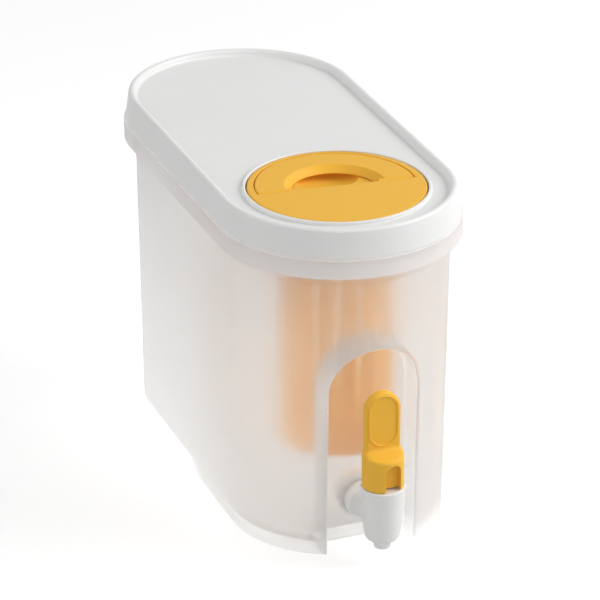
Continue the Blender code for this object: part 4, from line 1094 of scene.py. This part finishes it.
hole_length = 2 * (handle_outer + TRUNNION_LENGTH + SEAT_GAP)
hole_centre = (0, handle_axis_y, handle_axis_z)
trunnion_hole = cylinder(TRUNNION_RADIUS + TRUNNION_CLEARANCE, hole_length, hole_centre, "X", ROD_STEPS)
cap_shape = combined(cap_shell(), [
    ("UNION", tray()),
    ("UNION", scoop(TRAY_THICKNESS)),
    ("DIFFERENCE", pocket_cutter()),
    ("DIFFERENCE", scoop(0)),
    ("DIFFERENCE", trunnion_hole),
])
place_piece("cap_moulding", seated_in_opening(cap_shape), "cap", "cap")

# %% [markdown]
# The handle folds flat into the pocket: half a ring with round edges, a sloped inner edge for the finger,
# and round barrel ends that turn on two small trunnions. One section is turned through half a circle, which
# keeps all four edges even, and the barrels and trunnions are joined to its ends.

# %% Cap handle
HANDLE_WIDTH = 16.7 * MM
HANDLE_SLOPE = 4.3 * MM
HANDLE_EDGE_RADIUS = 1.0 * MM
HANDLE_STEPS = 96
BARREL_STEPS = 48
BARREL_EASE = 0.1 * MM

handle_inner = handle_outer - HANDLE_WIDTH
handle_low = handle_inner - HANDLE_SLOPE


def handle_ring():
    """Half a ring, turned from its section and closed at both ends."""
    half = HANDLE_THICKNESS / 2
    section = wire([
        (handle_outer, handle_axis_z - half, CAP_BOTTOM_RADIUS),
        (handle_outer, handle_axis_z + half, HANDLE_EDGE_RADIUS),
        (handle_inner, handle_axis_z + half, HANDLE_EDGE_RADIUS),
        (handle_low, handle_axis_z - half, CAP_BOTTOM_RADIUS),
    ], lambda radius, z: (radius, handle_axis_y, z), closed=True)
    geometry = [filled(section)] + section.edges[:] + section.verts[:]
    bmesh.ops.spin(section, geom=geometry, cent=(0, handle_axis_y, 0), axis=(0, 0, 1), dvec=(0, 0, 0),
                   angle=math.pi, steps=HANDLE_STEPS, use_merge=False, use_duplicate=False)
    return tidied(section)


barrel_radius = HANDLE_THICKNESS / 2 - BARREL_EASE
barrel_length = handle_outer - handle_low - 2 * HANDLE_SIDE_GAP
barrel_x = (handle_outer + handle_low) / 2
trunnion_length = TRUNNION_LENGTH + 2 * HANDLE_SIDE_GAP
trunnion_x = handle_outer + TRUNNION_LENGTH - trunnion_length / 2
handle_steps = []
for side in (-1, 1):
    barrel_at = (side * barrel_x, handle_axis_y, handle_axis_z)
    trunnion_at = (side * trunnion_x, handle_axis_y, handle_axis_z)
    handle_steps += [
        ("UNION", cylinder(barrel_radius, barrel_length, barrel_at, "X", BARREL_STEPS)),
        ("UNION", cylinder(TRUNNION_RADIUS, trunnion_length, trunnion_at, "X", ROD_STEPS)),
    ]
handle_shape = seated_in_opening(combined(handle_ring(), handle_steps))
place_piece("handle_moulding", handle_shape, "handle", "cap_handle")

# %% [markdown]
# The tap body is turned: a waisted barrel over a short nozzle, with soft fillets where a real mould has
# them. A flanged inlet runs back through the niche wall. The inlet is turned upright, as every round piece
# here is, and then laid back along Y.

# %% Outside of the tap body
TAP_WAIST_DROP = 20.0 * MM
TAP_WAIST_INSET = 1.15 * MM
TAP_SHOULDER_INSET = 3.1 * MM
TAP_SHOULDER_HEIGHT = 2.6 * MM
TAP_SHOULDER_FILLET = 3.2 * MM
NOZZLE_LENGTH = 4.0 * MM
NOZZLE_RADIUS = 5.2 * MM
NOZZLE_TIP_RADIUS = 4.8 * MM
NOZZLE_FILLET = 0.9 * MM
TAP_EDGE_RADIUS = 0.7 * MM
WAIST_RADIUS = 30.0 * MM
INLET_RADIUS = 7.5 * MM
TAP_FLANGE_RADIUS = 11.0 * MM
TAP_FLANGE_THICKNESS = 2.5 * MM
TAP_TURN_STEPS = 96

tap_rim_radius = tap_high.x
tap_rim_z = tap_high.z
nozzle_root_z = tap_low.z + NOZZLE_LENGTH
tap_shoulder_z = nozzle_root_z + TAP_SHOULDER_HEIGHT
washer_low_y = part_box("tap_outer_washer")[0].y


def tap_shell():
    """The waisted body and its nozzle."""
    return turned([
        (0, tap_rim_z, 0),
        (tap_rim_radius, tap_rim_z, TAP_EDGE_RADIUS),
        (tap_rim_radius - TAP_WAIST_INSET, tap_rim_z - TAP_WAIST_DROP, WAIST_RADIUS),
        (tap_rim_radius - TAP_SHOULDER_INSET, tap_shoulder_z, TAP_SHOULDER_FILLET),
        (NOZZLE_RADIUS, nozzle_root_z, NOZZLE_FILLET),
        (NOZZLE_TIP_RADIUS, tap_low.z, TAP_EDGE_RADIUS),
        (0, tap_low.z, 0),
    ], (0, tap_y), steps=TAP_TURN_STEPS)


def inlet_barrel():
    """The inlet and its flange, turned upright and laid back along Y."""
    reach = washer_low_y - SEAT_GAP - tap_y
    tail = tap_high.y - tap_y
    barrel = turned([
        (0, tail, 0),
        (INLET_RADIUS, tail, TAP_EDGE_RADIUS),
        (INLET_RADIUS, reach, 0),
        (TAP_FLANGE_RADIUS, reach, 0),
        (TAP_FLANGE_RADIUS, reach - TAP_FLANGE_THICKNESS, TAP_EDGE_RADIUS),
        (INLET_RADIUS, reach - TAP_FLANGE_THICKNESS, TAP_EDGE_RADIUS),
        (INLET_RADIUS, SEAT_GAP, 0),
        (0, SEAT_GAP, 0),
    ], steps=TAP_TURN_STEPS)
    return placed(barrel, (0, tap_y, inlet_z), -math.pi / 2, "X")


print(f"tap {2 * tap_rim_radius / MM:.1f} mm across at the rim, nozzle {NOZZLE_LENGTH / MM:.1f} mm long")

# %% [markdown]
# Inside the tap are the outlet bore, the valve chamber and the seat of the bonnet. They could be part of
# one closed profile with the outside, but the inlet has to be joined to a solid body before the bores go
# through both, so they are turned as a shape of their own and cut last.

# %% Bores and the finished tap body
CHAMBER_RADIUS = 8.1 * MM
NOZZLE_BORE_RADIUS = 3.2 * MM
SEAT_LIFT = 3.3 * MM
BONNET_SEAT_INSET = 1.85 * MM
BONNET_SEAT_DEPTH = 3.5 * MM
INLET_BORE_RADIUS = 4.8 * MM

seat_z = tap_shoulder_z + SEAT_LIFT


def tap_bores():
    """The chamber, the seat and the outlet, open above and below."""
    bonnet_seat = tap_rim_radius - BONNET_SEAT_INSET
    return turned([
        (0, tap_rim_z + OVERRUN, 0),
        (bonnet_seat, tap_rim_z + OVERRUN, 0),
        (bonnet_seat, tap_rim_z - BONNET_SEAT_DEPTH, 0),
        (CHAMBER_RADIUS, tap_rim_z - BONNET_SEAT_DEPTH, 0),
        (CHAMBER_RADIUS, seat_z, 0),
        (NOZZLE_BORE_RADIUS, seat_z, 0),
        (NOZZLE_BORE_RADIUS, tap_low.z - OVERRUN, 0),
        (0, tap_low.z - OVERRUN, 0),
    ], (0, tap_y), steps=TAP_TURN_STEPS)


bore_length = tap_high.y + OVERRUN - tap_y
tap_shape = combined(tap_shell(), [
    ("UNION", inlet_barrel()),
    ("DIFFERENCE", tap_bores()),
    ("DIFFERENCE", cylinder(INLET_BORE_RADIUS, bore_length, (0, tap_y + bore_length / 2, inlet_z), "Y")),
])
place_piece("tap_moulding", tap_shape, "vessel", "tap_body")

# %% [markdown]
# The lever is one moulding: a hood that caps the tap, a thumb paddle a little behind the hood's middle, and
# a soft shoulder between the two. The shoulder is a loft whose rings pass from the hood's circle to the
# paddle's rounded bar; its profile has a round outer edge and ends in a hollow fillet against the paddle.

# %% Hood and shoulder of the lever
HOOD_INSET = 1.0 * MM
HOOD_WALL = 1.8 * MM
HOOD_HEIGHT = 18.9 * MM
HOOD_SHOULDER_HEIGHT = 4.5 * MM
HOOD_EDGE_RADIUS = 0.4 * MM
SHOULDER_EDGE_RADIUS = 2.2 * MM
SHOULDER_FILLET = 3.2 * MM
SHOULDER_FOOT_LIFT = 2.3 * MM
SQUARE_POWER = 5.0
ROUND_POWER = 2.0
PADDLE_WIDTH = 21.0 * MM
PADDLE_THICKNESS = 5.8 * MM
PADDLE_SETBACK = 2.2 * MM

hood_radius = tap_rim_radius - HOOD_INSET
hood_low_z = lever_low.z
hood_top_z = hood_low_z + HOOD_HEIGHT
shoulder_top_z = hood_top_z + HOOD_SHOULDER_HEIGHT
paddle_front_y = tap_y + PADDLE_SETBACK - PADDLE_THICKNESS / 2
paddle_back_y = paddle_front_y + PADDLE_THICKNESS


def hood_ring(half_x, front, back, power, z):
    """A ring of the hood between a front and a back reach: a circle at power 2, squarer at higher powers."""
    ring = []
    for angle in even_steps(0, math.tau, TURN_STEPS)[:-1]:
        across, along = (math.copysign(abs(part) ** (2 / power), part)
                         for part in (math.cos(angle), math.sin(angle)))
        ring.append((half_x * across, tap_y + (back - front) / 2 + (front + back) / 2 * along, z))
    return ring


def soft_rise(share):
    """A share from 0 to 1 that starts and ends level."""
    return share * share * (3 - 2 * share)


def shoulder_profile():
    """The shoulder's front line as (reach from the tap's axis, height), from the hood up to the paddle."""
    root = tap_y - paddle_front_y - MERGE
    line = wire([
        (hood_radius, hood_top_z - SHOULDER_FILLET, 0),
        (hood_radius, hood_top_z, SHOULDER_EDGE_RADIUS),
        (root, hood_top_z + SHOULDER_FOOT_LIFT, SHOULDER_FILLET),
        (root, shoulder_top_z + 2 * SHOULDER_FILLET, 0),
    ], lambda reach, z: (reach, 0, z))
    points = sorted((vert.co.z, vert.co.x) for vert in line.verts)
    line.free()
    return [(reach, z) for z, reach in points if z < shoulder_top_z + SHOULDER_FILLET]


def hood():
    """The hood and its shoulder, up to the paddle's root."""
    low_radius = hood_radius - HOOD_EDGE_RADIUS
    rings = [
        hood_ring(low_radius, low_radius, low_radius, ROUND_POWER, hood_low_z),
        hood_ring(hood_radius, hood_radius, hood_radius, ROUND_POWER, hood_low_z + HOOD_EDGE_RADIUS),
    ]
    root_x = PADDLE_WIDTH / 2 - MERGE
    root_front = tap_y - paddle_front_y - MERGE
    root_back = paddle_back_y - tap_y - MERGE
    for reach, z in shoulder_profile():
        inward = (hood_radius - reach) / (hood_radius - root_front)
        rise = soft_rise(min(1.0, max(0.0, (z - hood_top_z) / HOOD_SHOULDER_HEIGHT)))
        half_x = hood_radius + (root_x - hood_radius) * rise
        back = hood_radius + (root_back - hood_radius) * inward
        power = ROUND_POWER + (SQUARE_POWER - ROUND_POWER) * inward ** 2
        rings.append(hood_ring(half_x, reach, back, power, z))
    return loft(rings)


print(f"hood {2 * hood_radius / MM:.1f} mm across, shoulder {HOOD_SHOULDER_HEIGHT / MM:.1f} mm high")

# %% [markdown]
# The paddle is a flat bar with a round top and bevelled outlines. It carries an upright oval with a low
# raised rim. The rim could be a tube along the oval, but a low plate with a rounded edge and a shallow cut
# inside it leave no seam where the rim meets the paddle.

# %% Paddle of the lever
PADDLE_EDGE_RADIUS = 1.7 * MM
PADDLE_ROOT_DEPTH = 6.0 * MM
OVAL_SIDE_MARGIN = 1.6 * MM
OVAL_TOP_MARGIN = 1.3 * MM
OVAL_LOW_MARGIN = 0.8 * MM
OVAL_RIM_WIDTH = 0.9 * MM
OVAL_RIM_HEIGHT = 0.6 * MM
OVAL_SINK = 0.2 * MM


def paddle():
    """The thumb plate with a round top; its front and back outlines are bevelled."""
    half = PADDLE_WIDTH / 2
    outline = upright_arch(half, shoulder_top_z - PADDLE_ROOT_DEPTH, lever_high.z - half)
    shape = loft([[(x, y, z) for x, z in outline] for y in (paddle_front_y, paddle_back_y)])
    edges = [edge for edge in shape.edges if abs(edge.verts[0].co.y - edge.verts[1].co.y) < MERGE]
    bmesh.ops.bevel(shape, geom=edges, offset=PADDLE_EDGE_RADIUS, segments=FILLET_STEPS,
                    profile=ARC_PROFILE, affect="EDGES", material=-1)
    return tidied(shape)


def oval_ring(inset, y):
    """The upright oval on the paddle's front, inset by a margin, at one depth."""
    end_radius = PADDLE_WIDTH / 2 - OVAL_SIDE_MARGIN
    high = lever_high.z - OVAL_TOP_MARGIN - end_radius
    low = shoulder_top_z + OVAL_LOW_MARGIN + end_radius
    return [(x, y, z) for x, z in upright_oval(end_radius - inset, low, high, ARCH_STEPS)]


def oval_plate():
    """The oval as a low plate with a rounded outer edge."""
    rings = [oval_ring(0, paddle_front_y + PADDLE_THICKNESS / 2)]
    for short, inset in rounding():
        y = paddle_front_y - OVAL_RIM_HEIGHT * (1 - short)
        rings.append(oval_ring(OVAL_RIM_WIDTH / 2 * inset, y))
    return loft(rings)


def oval_field():
    """The air over the oval's field, which leaves a rounded rim standing round it."""
    rings = [oval_ring(OVAL_RIM_WIDTH / 2, paddle_front_y - OVERRUN)]
    for short, drop in rounding():
        y = paddle_front_y - OVAL_RIM_HEIGHT + (OVAL_RIM_HEIGHT + OVAL_SINK) * drop
        rings.append(oval_ring(OVAL_RIM_WIDTH / 2 * (2 - short), y))
    return loft(rings)


print(f"paddle {PADDLE_WIDTH / MM:.1f} mm wide and {PADDLE_THICKNESS / MM:.1f} mm thick")

# %% [markdown]
# The window in the hood's front is open at the bottom, and a flat web behind it hides the stem. Inside,
# the hood is hollow, and two sockets in its wall take the ends of the stem's cross head, on which the
# lever rocks. The window's cutter follows the round hood, so that its eased edge stays even all round.

# %% Window, web and the finished lever
HOOD_ROOF_DROP = 2.0 * MM
WEB_SETBACK = 6.0 * MM
WEB_THICKNESS = 1.2 * MM
WEB_LIFT = 0.2 * MM
WINDOW_WIDTH = 9.8 * MM
WINDOW_HEIGHT = 16.1 * MM
WINDOW_EASE = 0.35 * MM
WINDOW_TURN = math.radians(12)
PIN_LIFT = 9.0 * MM
CROSS_RADIUS = 1.8 * MM
CROSS_CLEARANCE = 0.3 * MM
CROSS_SOCKET_DEPTH = 0.8 * MM

pin_z = hood_low_z + PIN_LIFT


def window_ring(grow, y_at):
    """The window's arch, each point at its own depth."""
    half = WINDOW_WIDTH / 2 + grow
    spring_z = hood_low_z + WINDOW_HEIGHT - WINDOW_WIDTH / 2
    return [(x, y_at(x), z) for x, z in upright_arch(half, hood_low_z - OVERRUN, spring_z)]


def window():
    """The window's air, eased where it leaves the hood's outside."""
    def skin(x):
        return -math.sqrt(hood_radius ** 2 - x ** 2)

    rings = [
        window_ring(2 * WINDOW_EASE, lambda x: -hood_radius - OVERRUN),
        window_ring(2 * WINDOW_EASE, lambda x: skin(x) - WINDOW_EASE),
    ]
    for grow, depth in rounding(EASE_START, steps=FILLET_STEPS - 1):
        rings.append(window_ring(WINDOW_EASE * grow, lambda x: skin(x) + WINDOW_EASE * depth))
    rings.append(window_ring(0, lambda x: 2 * HOOD_WALL - hood_radius))
    return placed(loft(rings), (0, tap_y, 0), WINDOW_TURN)


def web():
    """The flat wall across the hood in front of the stem."""
    half = math.sqrt((hood_radius - HOOD_WALL / 2) ** 2 - WEB_SETBACK ** 2)
    low_z = hood_low_z + WEB_LIFT
    high_z = hood_top_z - HOOD_ROOF_DROP / 2
    outline = [(-half, low_z), (half, low_z), (half, high_z), (-half, high_z)]
    front_y = tap_y - WEB_SETBACK
    return loft([[(x, y, z) for x, z in outline] for y in (front_y, front_y + WEB_THICKNESS)])


hood_inner = hood_radius - HOOD_WALL
hollow_height = HOOD_HEIGHT - HOOD_ROOF_DROP + OVERRUN
hollow_centre = (0, tap_y, hood_low_z - OVERRUN + hollow_height / 2)
socket_length = 2 * (hood_inner + CROSS_SOCKET_DEPTH)
sockets = cylinder(CROSS_RADIUS + CROSS_CLEARANCE, socket_length, (0, tap_y, pin_z), "X", ROD_STEPS)
lever_shape = combined(hood(), [
    ("UNION", paddle()),
    ("UNION", oval_plate()),
    ("DIFFERENCE", oval_field()),
    ("DIFFERENCE", cylinder(hood_inner, hollow_height, hollow_centre)),
    ("DIFFERENCE", window()),
    ("UNION", web()),
    ("DIFFERENCE", sockets),
])
place_piece("lever_moulding", lever_shape, "lever", "tap_lever")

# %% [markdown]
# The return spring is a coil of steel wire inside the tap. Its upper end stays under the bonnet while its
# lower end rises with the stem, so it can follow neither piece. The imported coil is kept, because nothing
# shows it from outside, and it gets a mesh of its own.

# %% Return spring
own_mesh(frame["nodes"]["return_spring"])

# %% [markdown]
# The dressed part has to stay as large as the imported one, because both are used together.

# %% Sizes and the end
visual_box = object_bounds()
for axis_name, cad_size, visual_size in zip("XYZ", cad_box[1] - cad_box[0], visual_box[1] - visual_box[0]):
    print(f"{axis_name}: packed {cad_size / MM:.1f} mm, dressed {visual_size / MM:.1f} mm")
